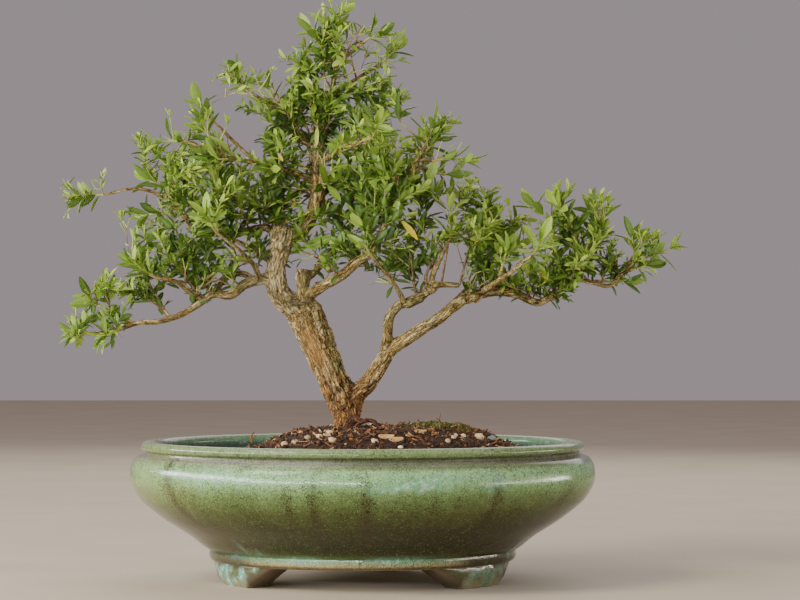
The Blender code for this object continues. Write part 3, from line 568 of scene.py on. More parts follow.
@dataclass(frozen=True)
class CrackleGlaze:
    """Green crackle glaze on stoneware: glossy, mottled, netted with fine dark crazing.

    It is minty where it runs thin over the shoulder, olive on the belly and brown below.
    """

    craze_mm: float = 1.35
    craze_wander_mm: float = 0.75
    craze_wander_scale: float = 620.0
    craze_line: float = 0.17
    # Where the crazing breaks off: the pattern's size and band, and how much is left and comes back
    craze_gap_mm: float = 2.6
    craze_gap_band: tuple = (0.36, 0.56)
    craze_gap_shares: tuple = (0.55, 0.45)
    # How strong it is: with the specks' zone, in any case, and in the drips
    craze_shares: tuple = (0.25, 0.5, 0.7)
    drip_share: float = 0.58
    mottle_mm: float = 7.0
    # Specks of iron, thick and thin by zones, and light grains
    speck_mm: float = 1.15
    speck_band: tuple = (0.55, 0.64)
    zone_mm: float = 34.0
    zone_band: tuple = (0.3, 0.6)
    speck_shares: tuple = (0.22, 0.12)
    glint_mm: float = 0.9
    glint_band: tuple = (0.6, 0.7)
    glint_share: float = 0.25
    # Milky runs in the turquoise, and the worn clay
    milk_mm: float = 2.4
    milk_band: tuple = (0.5, 0.66)
    clay_mm: float = 1.6
    worn_dullness: float = 0.35
    gloss: tuple = (0.12, 0.08)
    swell_mm: float = 9.0
    line_depth: float = 0.12
    relief: tuple = (0.35, 0.35)
    # Layers over a pattern: the colour, the band of the pattern where it lies, its share and its blend
    mottles: tuple = (("#5C6A3A", (0.5, 0.72), 0.3, "SCREEN"), ("#4B5226", (0.5, 0.28), 0.3, "MIX"))
    ior: float = 1.37
    top_mm: float = 80.0
    wander_mm: float = 12.0
    wander_size_mm: float = 26.0
    wander_spans: tuple = (("Z", 22, 40), ("Z", 72, 60))
    # The colour at each share of the height
    levels: tuple = (
        (0.00, "#7C8868"), (0.120, "#6C7852"), (0.145, "#5C4628"), (0.168, "#7A6640"), (0.180, "#B0A47A"),
        (0.195, "#ACAC80"), (0.207, "#84AA7C"), (0.232, "#566C38"), (0.262, "#2E3A10"), (0.31, "#1D2302"),
        (0.42, "#293004"), (0.54, "#4B5424"), (0.66, "#687E4A"), (0.75, "#84AC6E"), (0.82, "#94C088"),
        (0.86, "#8CAA78"), (0.878, "#A2A68E"), (0.89, "#B4B2A6"), (0.90, "#7C7A64"), (0.912, "#5E6444"),
        (0.93, "#687A4E"), (0.96, "#809762"), (1.00, "#A5BE8E"),
    )
    # Painted light and shade on parts of the glaze: the colour, how much of it, and the spans in millimetres
    # where it lies.
    # They are a painted shade on the lower right, a painted light on the upper left, a painted shade under
    # the left, a painted shade on both ends of the ring and a painted shadow under the rim on the right.
    painted_light_and_shade: tuple = (
        ("#3A2410", 0.8, ("X", -40, 120), ("Z", 54, 26)),
        ("#8C9355", 0.5, ("X", -70, -130), ("Z", 36, 50)),
        ("#46380E", 0.5, ("X", -40, -90), ("Z", 46, 30)),
        ("#30261A", 0.75, ("Z", 11.8, 12.4), ("Z", 22, 18.5), ("X", -62, -74)),
        ("#30261A", 0.88, ("Z", 11.8, 12.4), ("Z", 22, 18.5), ("X", 42, 56)),
        ("#4A4E2C", 0.55, ("Z", 66.8, 69), ("Z", 73.8, 72.2), ("X", -45, 0)),
    )

    def colour_by_height(self, paint: Paint) -> None:
        """Lays the glaze's colours by height, then painted light and shade on parts of it."""
        axes = paint.axes(paint.place)
        wander = paint.maths("SUBTRACT", paint.grain(self.wander_size_mm, detail=3.0), 0.5)
        reach = self.wander_mm * METRES_PER_MM
        wander = paint.times(wander, reach, paint.within(axes, *self.wander_spans))
        height = paint.maths("ADD", axes["Z"], wander)
        paint.colour = paint.ramp(paint.maths("DIVIDE", height, self.top_mm * METRES_PER_MM), self.levels)
        for colour, share, *spans in self.painted_light_and_shade:
            paint.lay(colour, paint.within(axes, *spans), share)

    def crazing(self, paint: Paint) -> Socket:
        """The net of fine cracks, bent and broken so that no cell is regular."""
        inputs = {"Vector": paint.place, "Scale": self.craze_wander_scale, "Detail": 3.0}
        bent = paint.node("ShaderNodeTexNoise", inputs).outputs["Color"]
        inputs = {0: bent, 1: (0.5, 0.5, 0.5)}
        offset = paint.node("ShaderNodeVectorMath", inputs, operation="SUBTRACT").outputs[0]
        inputs = {0: offset, "Scale": 2 * self.craze_wander_mm * METRES_PER_MM}
        offset = paint.node("ShaderNodeVectorMath", inputs, operation="SCALE").outputs[0]
        wavy = paint.node("ShaderNodeVectorMath", {0: paint.place, 1: offset}).outputs[0]
        line = paint.band(paint.cell_edges(wavy, self.craze_mm), self.craze_line, 0.01)
        whole = paint.band(paint.grain(self.craze_gap_mm), *self.craze_gap_band)
        return paint.times(line, paint.scaled(whole, *self.craze_gap_shares))

    def material(self) -> Material:
        """Builds the glaze on the pot's own "drip", "turquoise_and_painted_light", "worn" and "bare", where
        "bare" is a painted shade.
        """
        paint = Paint("green_crackle_glaze")
        self.colour_by_height(paint)
        patches = paint.grain(self.mottle_mm, detail=4.0, roughness=0.65)
        for colour, span, share, blend in self.mottles:
            paint.lay(colour, paint.band(patches, *span), share, blend=blend)
        # Specks of iron that melted through the glaze
        specks = paint.band(paint.grain(self.speck_mm, detail=3.0, roughness=0.6), *self.speck_band)
        zone = paint.band(paint.grain(self.zone_mm, detail=3.0), *self.zone_band)
        paint.lay("#2C3012", specks, paint.scaled(zone, *self.speck_shares))
        glints = paint.band(paint.grain(self.glint_mm), *self.glint_band)
        paint.lay("#B9CC94", glints, self.glint_share, blend="SCREEN")
        # Crazing: stained lines, strongest in the drips, where they turn brown
        drip, worn, bare = (paint.attribute(name) for name in ("drip", "worn", "bare"))
        line = self.crazing(paint)
        in_zone, anywhere, in_drip = self.craze_shares
        share = paint.scaled(zone, in_zone, anywhere)
        crazing = paint.times(line, paint.maths("ADD", share, paint.times(drip, in_drip), clamp=True))
        paint.lay("#42321A", drip, self.drip_share)
        paint.lay(paint.mix(drip, "#262A10", "#2A1808"), crazing)
        # Turquoise where the glaze ran thick, with painted reflections and painted light in it; the clay's
        # brown where it wore off; and dark brown on the feet's undersides, a painted shade on dull clay
        milk = paint.band(paint.grain(self.milk_mm, detail=3.0), *self.milk_band)
        paint.lay(paint.mix(milk, "#6FB7A0", "#D4E6DA"), paint.attribute("turquoise_and_painted_light"))
        paint.lay(paint.mix(paint.grain(self.clay_mm, detail=3.0), "#8F7B58", "#CDBF9C"), worn)
        paint.lay("#3B2A1A", bare)
        dull = paint.times(paint.maths("ADD", worn, bare), self.worn_dullness)
        roughness = paint.maths("ADD", paint.scaled(crazing, *self.gloss), dull)
        relief = paint.maths("SUBTRACT", paint.grain(self.swell_mm), paint.times(line, self.line_depth))
        return paint.finish(roughness, paint.bump(relief, *self.relief), self.ior)


@dataclass(frozen=True)
class ScreenPlastic:
    """Black polyethylene mesh, moulded: dull, with a fine haze."""

    tones: tuple = ((0.3, "#15161A"), (0.7, "#24262B"))

    def material(self) -> Material:
        """Builds the plastic."""
        paint = Paint("moulded_black_polyethylene")
        haze = paint.grain(3.0, detail=3.0)
        paint.colour = paint.ramp(haze, self.tones)
        return paint.finish(paint.scaled(haze, 0.2, 0.4), paint.bump(paint.grain(0.6), 0.05, 0.6))


@dataclass(frozen=True)
class StudioFloor:
    """Matte pale studio board."""

    tones: tuple = ((0.3, "#CBBDA4"), (0.7, "#D3C6AF"))

    def material(self) -> Material:
        """Builds the board."""
        paint = Paint("matte_studio_board")
        paint.colour = paint.ramp(paint.grain(90.0, detail=3.0), self.tones)
        return paint.finish(0.8)


@dataclass(frozen=True)
class BarkSoil:
    """Damp potting soil of rotted bark: dark red-brown crumbs with tan and orange fibres in them."""

    tones: tuple = (
        (0.00, "#160A05"), (0.28, "#32190B"), (0.50, "#553317"), (0.68, "#87592E"), (0.84, "#BC8E54"),
        (1.00, "#EBCB90"),
    )

    def material(self) -> Material:
        """Builds the soil on each crumb's own "tone", 0 for dark and 1 for fresh tan bark."""
        paint = Paint("rotted_bark_soil")
        patches = paint.maths("SUBTRACT", paint.grain(7.0, detail=3.0), 0.5)
        paint.colour = paint.ramp(paint.scaled(patches, 0.35, paint.attribute("tone")), self.tones)
        fibre = paint.grain(0.6, detail=3.0)
        paint.lay("#C0925E", paint.band(fibre, 0.55, 0.7), 0.3)
        damp = paint.scaled(paint.grain(9.0), -0.3, 0.98)
        return paint.finish(damp, paint.bump(fibre, 0.3, 0.9))


@dataclass(frozen=True)
class RiverPebble:
    """Small water-worn stones: smooth and dull, cream, pink, tan or blue-grey."""

    tones: tuple = (
        (0.00, "#7F8C92"), (0.20, "#9A9C8A"), (0.40, "#B8986A"), (0.60, "#CFA988"), (0.80, "#DFC18F"),
        (1.00, "#EAD6BA"),
    )

    def material(self) -> Material:
        """Builds the stone on each pebble's own "tone", 0 for blue-grey and 1 for white."""
        paint = Paint("river_pebbles")
        paint.colour = paint.ramp(paint.attribute("tone"), self.tones)
        paint.lay("#8F7B5E", paint.band(paint.grain(1.3, detail=4.0), 0.45, 0.7), 0.3)
        return paint.finish(0.62, paint.bump(paint.grain(0.5), 0.1, 0.5))


@dataclass(frozen=True)
class CushionMoss:
    """Low cushion moss: soft and matte, olive where it is dry and yellow-green at its tips."""

    tones: tuple = ((0.2, "#2A220E"), (0.5, "#4E471C"), (0.8, "#6F6A2C"), (1.1, "#989253"))

    def material(self) -> Material:
        """Builds the moss on each tuft's own "tone"."""
        paint = Paint("cushion_moss")
        paint.colour = paint.ramp(paint.scaled(paint.grain(5.0), 0.5, paint.attribute("tone")), self.tones)
        return paint.finish(0.95)


@dataclass(frozen=True)
class FlakyBark:
    """Old serissa bark: dry, matte and corky, in long flakes over dark cracks.

    The flakes weather to cream and grey-tan, and the foot of the trunk stays rusty brown.
    """

    fibre_mm: float = 0.85
    fibre_stretch: float = 0.24
    broad_mm: float = 3.4
    grain_shares: tuple = (0.72, 0.28)
    algae_mm: float = 16.0
    algae_band: tuple = (0.5, 0.68)
    # Hair cracks along the limb
    hair_mm: float = 0.7
    hair_band: tuple = (0.45, 0.37)
    hair_stretch: float = 0.13
    hair_dark: float = 0.7
    hair_depth: float = 0.6
    crack_share: float = 0.9
    # The flakes' edges
    flake_bend_mm: float = 2.0
    peel_band: tuple = (0.36, 0.56)
    gap_band: tuple = (0.08, 0.02)
    gap_share: float = 0.62
    gap_depth: float = 0.4
    lip_bands: tuple = ((0.08, 0.12), (0.2, 0.14))
    lip_share: float = 0.16
    roughness: float = 0.86
    relief: tuple = (0.7, 1.0)
    flake_mm: float = 1.9
    flake_stretch: float = 0.17
    flake_stray: float = 0.003
    # Light and dark plates: the colour, the plates' numbers that have it, and how much of it
    plates: tuple = (("#E6D7A4", (0.6, 0.95), 0.4), ("#5E4A20", (0.45, 0.05), 0.5))
    ior: float = 1.3
    corky: tuple = (
        (0.38, "#34240A"), (0.445, "#705620"), (0.50, "#A98A44"), (0.55, "#D2B572"), (0.61, "#F8E4AE"),
    )
    rusty: tuple = ((0.36, "#381602"), (0.46, "#7E4812"), (0.54, "#B07032"), (0.64, "#E8B070"))
    painted_light_tones: tuple = ((0.42, "#54421C"), (0.48, "#B9A264"), (0.53, "#F2E0AE"), (0.58, "#FFF4D0"))
    mossy: tuple = ((0.42, "#1E1A08"), (0.5, "#5C5428"), (0.58, "#9A9058"))

    def material(self) -> Material:
        """Builds the bark on the limb coordinates and the tones that the wood carries."""
        paint = Paint("flaky_serissa_bark")
        limb = paint.attribute("limb", "Vector")
        fibres = paint.along_limb(limb, self.fibre_stretch)
        fine = paint.grain(self.fibre_mm, fibres, detail=6.0, roughness=0.78)
        broad = paint.grain(self.broad_mm, fibres, detail=3.0)
        tone = paint.maths("ADD", *map(paint.times, (fine, broad), self.grain_shares))
        paint.colour = paint.ramp(tone, self.corky)
        plate = paint.attribute("plate")
        for colour, span, share in self.plates:
            paint.lay(colour, paint.band(plate, *span), share)
        paint.lay(paint.ramp(fine, self.rusty), paint.attribute("rust"))
        algae = paint.band(paint.grain(self.algae_mm, detail=3.0), *self.algae_band)
        paint.lay(paint.mix(fine, "#4E4C1E", "#A0A060"), algae, paint.attribute("algae"))
        root = paint.attribute("root")
        paint.lay(paint.mix(fine, "#1E0A06", "#6E3222"), root)
        hair = paint.grain(self.hair_mm, paint.along_limb(limb, self.hair_stretch), detail=3.0)
        hair = paint.band(hair, *self.hair_band)
        crack = paint.maths("MAXIMUM", paint.attribute("crack"), paint.times(hair, self.hair_dark))
        paint.lay("#2A1A08", crack, self.crack_share)
        # The edges of thin flakes: a dark gap with a sunlit lip beside it
        bend = paint.times(paint.grain(self.flake_bend_mm, limb, detail=4.0), self.flake_stray)
        bent = paint.node("ShaderNodeVectorMath", {0: limb, 1: bend}).outputs[0]
        flakes = paint.cell_edges(paint.along_limb(bent, self.flake_stretch), self.flake_mm)
        peeling = paint.times(paint.band(broad, *self.peel_band), paint.maths("SUBTRACT", 1.0, root))
        gap = paint.times(paint.band(flakes, *self.gap_band), peeling)
        lip = paint.times(*(paint.band(flakes, *span) for span in self.lip_bands))
        paint.lay("#E9DDB0", lip, self.lip_share, blend="SCREEN")
        paint.lay("#33240C", gap, self.gap_share)
        # Worn inner bark, a painted light laid as pale wood on the upper trunk, and the mossy inner branch
        paint.lay(paint.mix(fine, "#7A5020", "#BC9054"), paint.attribute("worn"))
        paint.lay(paint.ramp(fine, self.painted_light_tones), paint.attribute("pale"))
        paint.lay(paint.ramp(fine, self.mossy), paint.attribute("olive"))
        relief = paint.maths("SUBTRACT", fine, paint.times(hair, self.hair_depth))
        relief = paint.maths("SUBTRACT", relief, paint.times(gap, self.gap_depth))
        return paint.finish(self.roughness, paint.bump(relief, *self.relief), self.ior)


@dataclass(frozen=True)
class TwigBark:
    """Thin bark of young twigs: brown and satin, with pale grain along them."""

    tones: tuple = ((0.32, "#3E2E1A"), (0.5, "#705834"), (0.68, "#A48E5C"))

    def material(self) -> Material:
        """Builds the twigs' bark."""
        paint = Paint("brown_twig_bark")
        paint.colour = paint.ramp(paint.grain(2.2, detail=4.0), self.tones)
        return paint.finish(0.7, paint.bump(paint.grain(0.7), 0.2, 0.8))


@dataclass(frozen=True)
class WaxyLeaf:
    """A serissa leaf: thin and waxy, glossy above, with a pale midrib and faint side veins."""

    veins: float = 7.0
    vein_slant: float = 2.4
    gloss: float = 0.34
    ior: float = 1.45
    through_share: float = 0.3
    tint_share: float = 0.16
    blotch_mm: float = 5.0
    blotch_band: tuple = (0.45, 0.7)
    blotch_share: float = 0.25
    vein_share: float = 0.1
    rib_share: float = 0.5
    # The underside, paler and duller than the top
    under_band: tuple = (0.2, 0.9)
    under_share: float = 0.45
    under_dullness: float = 0.25
    glow_share: float = 0.5
    vein_height: float = 0.35
    relief: tuple = (0.12, 0.4)
    # Where veins and midrib fade out, toward the edge and toward the tip
    vein_end: tuple = (1.0, 0.7)
    rib_end: tuple = (1.0, 0.55)
    # How wide the veins and the midrib are, the soft edge and then the sharp one
    vein_width: tuple = (0.16, 0.02)
    rib_width: tuple = (0.16, 0.03)
    # From yellow and young to dark and old
    ages: tuple = (
        (0.00, "#E3C838"), (0.07, "#E0CC3C"), (0.12, "#C8D860"), (0.26, "#ABC64C"), (0.44, "#84A232"),
        (0.64, "#5A7C20"), (0.84, "#405E17"), (1.00, "#2C420E"),
    )

    def material(self) -> Material:
        """Builds the leaf on the blade coordinates, the "age" and the "tint" that each leaf carries; the age
        also holds painted shade and light.
        """
        paint = Paint("waxy_serissa_leaf")
        blade = paint.axes(paint.attribute("blade", "Vector"))
        across, along, under = paint.maths("ABSOLUTE", blade["X"]), blade["Y"], blade["Z"]
        age = paint.scaled(paint.attribute("tint"), self.tint_share, paint.attribute("age"))
        paint.colour = paint.ramp(age, self.ages)
        blotches = paint.band(paint.grain(self.blotch_mm), *self.blotch_band)
        paint.lay("#8EB44A", blotches, self.blotch_share)
        wave = paint.maths("SUBTRACT", paint.times(along, self.veins), paint.times(across, self.vein_slant))
        vein = paint.maths("ABSOLUTE", paint.maths("SUBTRACT", paint.maths("FRACT", wave), 0.5))
        vein = paint.times(paint.band(vein, *self.vein_width), paint.band(across, *self.vein_end))
        rib = paint.times(paint.band(across, *self.rib_width), paint.band(along, *self.rib_end))
        paint.lay("#B4CC74", vein, self.vein_share)
        paint.lay("#BBD27A", rib, self.rib_share)
        paint.lay("#8CA868", paint.band(under, *self.under_band), self.under_share)
        relief = paint.scaled(rib, -1.0, paint.times(vein, -self.vein_height))
        gloss = paint.scaled(under, self.under_dullness, self.gloss)
        # Light that comes through the thin blade
        glow = paint.mix(self.glow_share, paint.colour, "#A8D048")
        glow = paint.node("ShaderNodeBsdfTranslucent", {"Color": glow})
        inputs = {0: self.through_share, 1: paint.shader.outputs[0], 2: glow.outputs[0]}
        both = paint.node("ShaderNodeMixShader", inputs).outputs[0]
        paint.tree.links.new(both, paint.tree.nodes["Material Output"].inputs["Surface"])
        return paint.finish(gloss, paint.bump(relief, *self.relief), self.ior)


@dataclass(frozen=True)
class GreenStem:
    """The skin of a young shoot: green and satin, browning where it turns to wood."""

    tones: tuple = ((0.15, "#9DB552"), (0.45, "#A9A05A"), (0.75, "#9A7B4C"), (1.1, "#745236"))

    def material(self) -> Material:
        """Builds the skin on the stems' "tone", 0 for green and 1 for wood."""
        paint = Paint("green_shoot_skin")
        paint.colour = paint.ramp(paint.scaled(paint.grain(2.0), 0.3, paint.attribute("tone")), self.tones)
        return paint.finish(0.5, paint.bump(paint.grain(0.8), 0.08, 0.7))


# Studio


@dataclass
class Studio:
    """The camera at the photograph's angle, the pale floor and the soft lights."""

    camera_offset: float = 20.9
    camera_distance: float = 1700.0
    camera_height: float = 144.0
    pitch_up_degrees: float = 0.45
    lens_mm: float = 136.3
    sensor_mm: float = 36.0
    view_metres: float = 100.0
    floor_half: float = 4000.0
    aim_height: float = 130.0
    room_colour: str = "#E2D5DB"
    room_strength: float = 0.42
    # Name, place, width and height, watts and colour
    softboxes: tuple = (
        ("key_softbox", (-1100, -1000, 1150), (700, 700), 23.0, "#FFF3E2"),
        ("front_strip", (-700, -1500, 290), (1600, 60), 17.0, "#F4F9FF"),
        ("left_strip", (-1500, -250, 330), (2000, 130), 30.0, "#F4F9FF"),
        ("right_strip", (1500, -50, 130), (1700, 60), 9.0, "#FFF8EC"),
        ("fill_softbox", (1300, -900, 700), (900, 900), 3.0, "#F2F6FF"),
        ("back_softbox", (300, 1300, 950), (1600, 1000), 8.0, "#FFFFFF"),
    )

    def place_camera(self) -> None:
        """Makes the scene's camera."""
        data = bpy.data.cameras.new("camera")
        data.lens = self.lens_mm
        data.sensor_width = self.sensor_mm
        data.clip_end = self.view_metres
        camera = bpy.data.objects.new("camera", data)
        spot = Vector((self.camera_offset, -self.camera_distance, self.camera_height))
        camera.location = Place.to_frame(spot)
        camera.rotation_euler = (math.radians(90 + self.pitch_up_degrees), 0, 0)
        bpy.context.scene.collection.objects.link(camera)
        bpy.context.scene.camera = camera

    def add_light(self, name: str, spot: tuple, size: tuple[float, float], power: float, colour: str) -> None:
        """Adds a softbox aimed at the tree.

        Args:
            name: the light's name.
            spot: where it hangs.
            size: its width and height.
            power: its watts.
            colour: its hex colour.
        """
        data = bpy.data.lights.new(name, "AREA")
        data.shape = "RECTANGLE"
        data.size, data.size_y = (METRES_PER_MM * side for side in size)
        data.energy = power
        data.color = linear(colour)[:3]
        light = bpy.data.objects.new(name, data)
        light.location = Place.to_frame(Vector(spot))
        way = Place.to_frame(Vector((0, 0, self.aim_height))) - light.location
        light.rotation_euler = way.to_track_quat("-Z", "Y").to_euler()
        bpy.context.scene.collection.objects.link(light)

    def build(self) -> None:
        """Makes the camera, the floor and the lights."""
        self.place_camera()
        ways = ((-1, -1), (1, -1), (1, 1), (-1, 1))
        corners = [Place.to_frame(self.floor_half * Vector((x, y, 0))) for x, y in ways]
        mesh = bpy.data.meshes.new("floor")
        mesh.from_pydata(corners, [], [(0, 1, 2, 3)])
        mesh.shade_smooth()
        add_object("floor", mesh, StudioFloor().material())
        world = bpy.data.worlds.new("soft_room")
        world.use_nodes = True
        back = world.node_tree.nodes["Background"]
        back.inputs["Color"].default_value = linear(self.room_colour)
        back.inputs["Strength"].default_value = self.room_strength
        bpy.context.scene.world = world
        for softbox in self.softboxes:
            self.add_light(*softbox)


# Pot


@dataclass
class Drip:
    """A run in the glaze: its direction round the pot, width, heights, strength and drift in degrees."""

    degrees: float
    width: float
    top: float
    bottom: float
    strength: float
    drift: float = 0.0
    sway: float = 0.35
    sway_scale: float = 0.09
    ragged: float = 5.0
    ragged_scale: float = 0.3
    softest: float = 8.0
    soft_share: float = 0.3

    def at(self, place: Vector, number: int) -> float:
        """How strong the run is at a point of the bowl, with an edge that its number varies."""
        fallen = (self.top - place.z) / (self.top - self.bottom)
        away = math.degrees(math.atan2(place.y, place.x)) - self.degrees - self.drift * fallen
        away = (away + 180) % 360 - 180
        sway = noise.noise(Vector((self.sway_scale * place.z, 7.3 * number, 0)))
        away = math.radians(away) * place.to_2d().length + self.sway * self.width * sway
        ragged = self.ragged * noise.noise(Vector((self.ragged_scale * away, 3.1 * number, 1.7)))
        margin = min(self.softest, self.soft_share * (self.top - self.bottom))
        long = smoothstep(self.bottom - margin, self.bottom + margin, place.z + ragged)
        long *= 1 - smoothstep(self.top - margin, self.top + margin, place.z + ragged)
        return self.strength * long * math.exp(-((away / (0.5 * self.width)) ** 2))


@dataclass
class GlazedPot:
    """The round bowl with its bracket feet and drain holes."""

    segments: int = 240
    front_share: float = 0.35
    outer_runs: tuple = (
        ((70.0, 12.0), (82.4, 12.0)),
        ((82.4, 12.0), (84.4, 12.5), (85.6, 13.9), (86.0, 15.8), (85.8, 17.9)),
        (
            (85.8, 17.9), (87.0, 18.8), (89.9, 20.8), (96.8, 26.3), (111.0, 35.4), (121.8, 43.8),
            (125.7, 48.2), (128.4, 52.6), (129.7, 55.4), (130.2, 57.2), (130.3, 58.7), (130.22, 60.3),
            (130.07, 61.8), (129.88, 63.3), (129.56, 65.0), (129.1, 66.6), (128.3, 68.1), (127.0, 69.5),
            (125.3, 70.5), (122.6, 71.3),
        ),
        ((122.6, 71.3), (121.6, 71.8), (121.4, 72.7), (122.2, 73.7)),
        ((122.2, 73.7), (123.5, 74.0), (123.9, 75.2), (123.7, 76.8), (122.9, 78.0), (121.2, 78.5)),
    )
    inner_runs: tuple = (
        ((121.2, 78.5), (118.6, 78.6), (116.2, 78.2), (114.9, 77.1), (114.5, 75.4), (114.8, 73.0)),
        (
            (114.8, 73.0), (118.6, 68.4), (121.0, 61.0), (119.6, 52.4), (110.5, 42.5), (90.0, 28.4),
            (76.0, 20.5),
        ),
    )
    run_spacing: float = 1.3
    drain_offset: float = 38.0
    drain_radius: float = 9.0
    drain_sides: int = 48
    drain_span: tuple = (7.0, 26.0)
    # Each foot's direction round the pot in degrees, and how much turquoise it carries
    feet: tuple = ((206.0, 0.8), (326.0, 0.25), (86.0, 0.8))
    foot_sections: int = 57
    foot_half_degrees: float = 30.0
    foot_flat_degrees: float = 12.0
    foot_outer: float = 82.2
    foot_inner: float = 66.0
    foot_top: float = 14.5
    foot_rise: float = 12.2
    foot_rows: int = 9
    foot_bulge: float = 1.1
    foot_tuck: float = 2.6
    groove_share: float = 0.07
    groove_depth: float = 1.5
    lobe_rise: float = 0.5
    bead_rise: float = 0.9
    bead_spot: tuple = (0.86, 0.12)
    bead_growth: tuple = (3, 0.3)
    lobe_shift: float = 0.4
    wing_start: float = 0.9
    wing_shares: tuple = (0.35, 0.65)
    # The feet's glaze: turquoise in blotches, worn to the clay below, and a painted shade, dark on dull bare
    # clay, on the wings' lower rows and the inner faces
    blotch_span: tuple = (-0.15, 0.3)
    blotch_scale: float = 0.16
    wing_dull: float = 0.8
    foot_worn: tuple = (1.2, 0.25)
    foot_worn_span: tuple = (0.45, 0.95)
    foot_painted_shade: float = 0.8
    foot_painted_shade_spans: tuple = ((0.35, 0.7), (0.0, 0.12))
    back_worn: float = 0.6
    back_painted_shade: float = 0.85
    sharp_degrees: float = 48.0
    # Dark runs, round the pot from the left
    drips: tuple = (
        Drip(-142.8, 6.0, 68, 34, 1.0, 1.6), Drip(-143.4, 5.0, 70, 57, 0.6),
        Drip(-107.0, 5.0, 60, 34, 0.6), Drip(-101.0, 6.5, 62, 28, 0.75), Drip(-88.5, 6.0, 60, 22, 0.85),
        Drip(-72.0, 5.0, 58, 30, 0.5), Drip(-66.0, 4.0, 54, 36, 0.45), Drip(-56.0, 6.0, 62, 34, 0.85),
        Drip(-30.0, 7.0, 60, 30, 0.5), Drip(5.0, 6.0, 60, 30, 0.6), Drip(38.0, 7.0, 64, 28, 0.7),
        Drip(74.0, 6.0, 60, 26, 0.6), Drip(112.0, 8.0, 62, 30, 0.7), Drip(150.0, 5.0, 58, 34, 0.5),
        Drip(176.0, 6.0, 60, 28, 0.6),
    )
    # Where turquoise lies: on the ring's edge with its ends left and right, and inside the rim, where its
    # pale tone is a painted light on a wall in shade
    ring_line: tuple = ((15.4, 16.4), (17.8, 20.5))
    ring_ends: tuple = ((56.0, 42.0), (-76.0, -64.0))
    pool_scale: float = 0.035
    pool_on_line: float = 0.4
    inside_painted_light: float = 0.28
    pool_reach: tuple = (121.2, 120.8)
    pool_heights: tuple = ((60, 66), (78.0, 77.0))
    pool_patch: tuple = (-0.3, 0.4)
    # Where the clay shows: on the rim and on the base
    worn_rim: tuple = (78.2, 78.5)
    worn_patch: tuple = (0.1, 0.5)
    worn_base: tuple = (12.6, 12.1)
    worn_shares: tuple = (0.35, 0.8)
    base_radius: float = 84.0
    # Milky turquoise runs on the ring, and painted reflections, cyan and white, under the shoulder
    turquoise_runs_and_reflections: tuple = (
        Drip(-134.0, 4.0, 27, 18, 0.15), Drip(-128.0, 8.0, 21, 17, 0.15),
        Drip(-76.0, 40.0, 63.5, 57.5, 0.45), Drip(-57.0, 15.0, 63.0, 57.0, 0.3),
        Drip(-126.0, 60.0, 66.0, 59.0, 0.22), Drip(-20.0, 6.0, 27, 18, 0.5),
        Drip(25.0, 8.0, 29, 18, 0.5), Drip(66.0, 6.0, 26, 17, 0.4), Drip(128.0, 8.0, 28, 18, 0.5),
        Drip(170.0, 6.0, 30, 19, 0.5),
    )

    def profile(self) -> list[tuple[float, float]]:
        """The section from the base's middle round the rim to the floor's middle."""
        knots = []
        for run in self.outer_runs + self.inner_runs:
            for place, _ in smooth_route([(r, 0, z, 0) for r, z in run], self.run_spacing):
                if not knots or math.dist(knots[-1], (place.x, place.z)) > 0.05:
                    knots.append((place.x, place.z))
        return knots

    def bowl(self) -> Shape:
        """The bowl as a turned solid."""
        profile = self.profile()
        points = []
        for radius, height in profile:
            for number in range(self.segments):
                angle = math.tau * number / self.segments
                angle -= self.front_share * math.cos(angle)
                points.append(Vector((radius * math.cos(angle), radius * math.sin(angle), height)))
        last = len(points) - self.segments
        ends = [tuple(range(self.segments)), tuple(range(last, last + self.segments))]
        return Shape(points, rings(len(profile), self.segments) + ends)

    def foot(self, middle_degrees: float, glaze: float) -> Shape:
        """A bracket foot: two rolled lobes with a groove between, and wings that slant up.

        Args:
            middle_degrees: the foot's direction round the pot.
            glaze: how much turquoise it carries.

        Returns:
            The foot, with "turquoise_and_painted_light", "worn" and "bare" for its glaze, where "bare" is a
            painted shade.
        """
        points, pools, worn, bare = [], [], [], []
        flat = self.foot_flat_degrees / self.foot_half_degrees
        for section in range(self.foot_sections):
            across = 2 * section / (self.foot_sections - 1) - 1
            wing = smoothstep(self.wing_start * flat, 1.0, abs(across))
            curved, straight = self.wing_shares
            bottom = self.foot_rise * (curved * wing + straight * max(0.0, abs(across) - flat) / (1 - flat))
            angle = math.radians(middle_degrees + across * self.foot_half_degrees)
            out = Vector((math.cos(angle), math.sin(angle), 0))
            swell = math.cos(math.tau * abs(across) / (2 * flat) - self.lobe_shift)
            lobe = swell if abs(across) < flat else 0.0
            groove = math.exp(-((across / self.groove_share) ** 2))
            bead_size = self.bead_rise, min(1.0, self.bead_growth[0] * wing + self.bead_growth[1])
            for row in range(self.foot_rows):
                share = row / (self.foot_rows - 1)
                height = self.foot_top + (bottom - self.foot_top) * share
                bulge = self.foot_bulge * math.sin(math.pi * share) - self.foot_tuck * share**3
                from_bead = (share - self.bead_spot[0]) / self.bead_spot[1]
                bead = bead_size[0] * math.exp(-(from_bead**2)) * bead_size[1]
                radius = self.foot_outer + bulge + bead + self.lobe_rise * lobe * share
                radius -= self.groove_depth * groove * share
                points.append(radius * out + Vector((0, 0, height)))
                blotch = smoothstep(*self.blotch_span, noise.noise(self.blotch_scale * points[-1]))
                blotch = blotch * math.sin(math.pi * share) ** 2 * (1 - self.wing_dull * wing)
                pools.append(glaze * max(groove, blotch))
                rubbed = self.foot_worn[0] * smoothstep(*self.foot_worn_span, share)
                worn.append(min(1.0, rubbed * (self.foot_worn[1] + wing) * (1 - groove)))
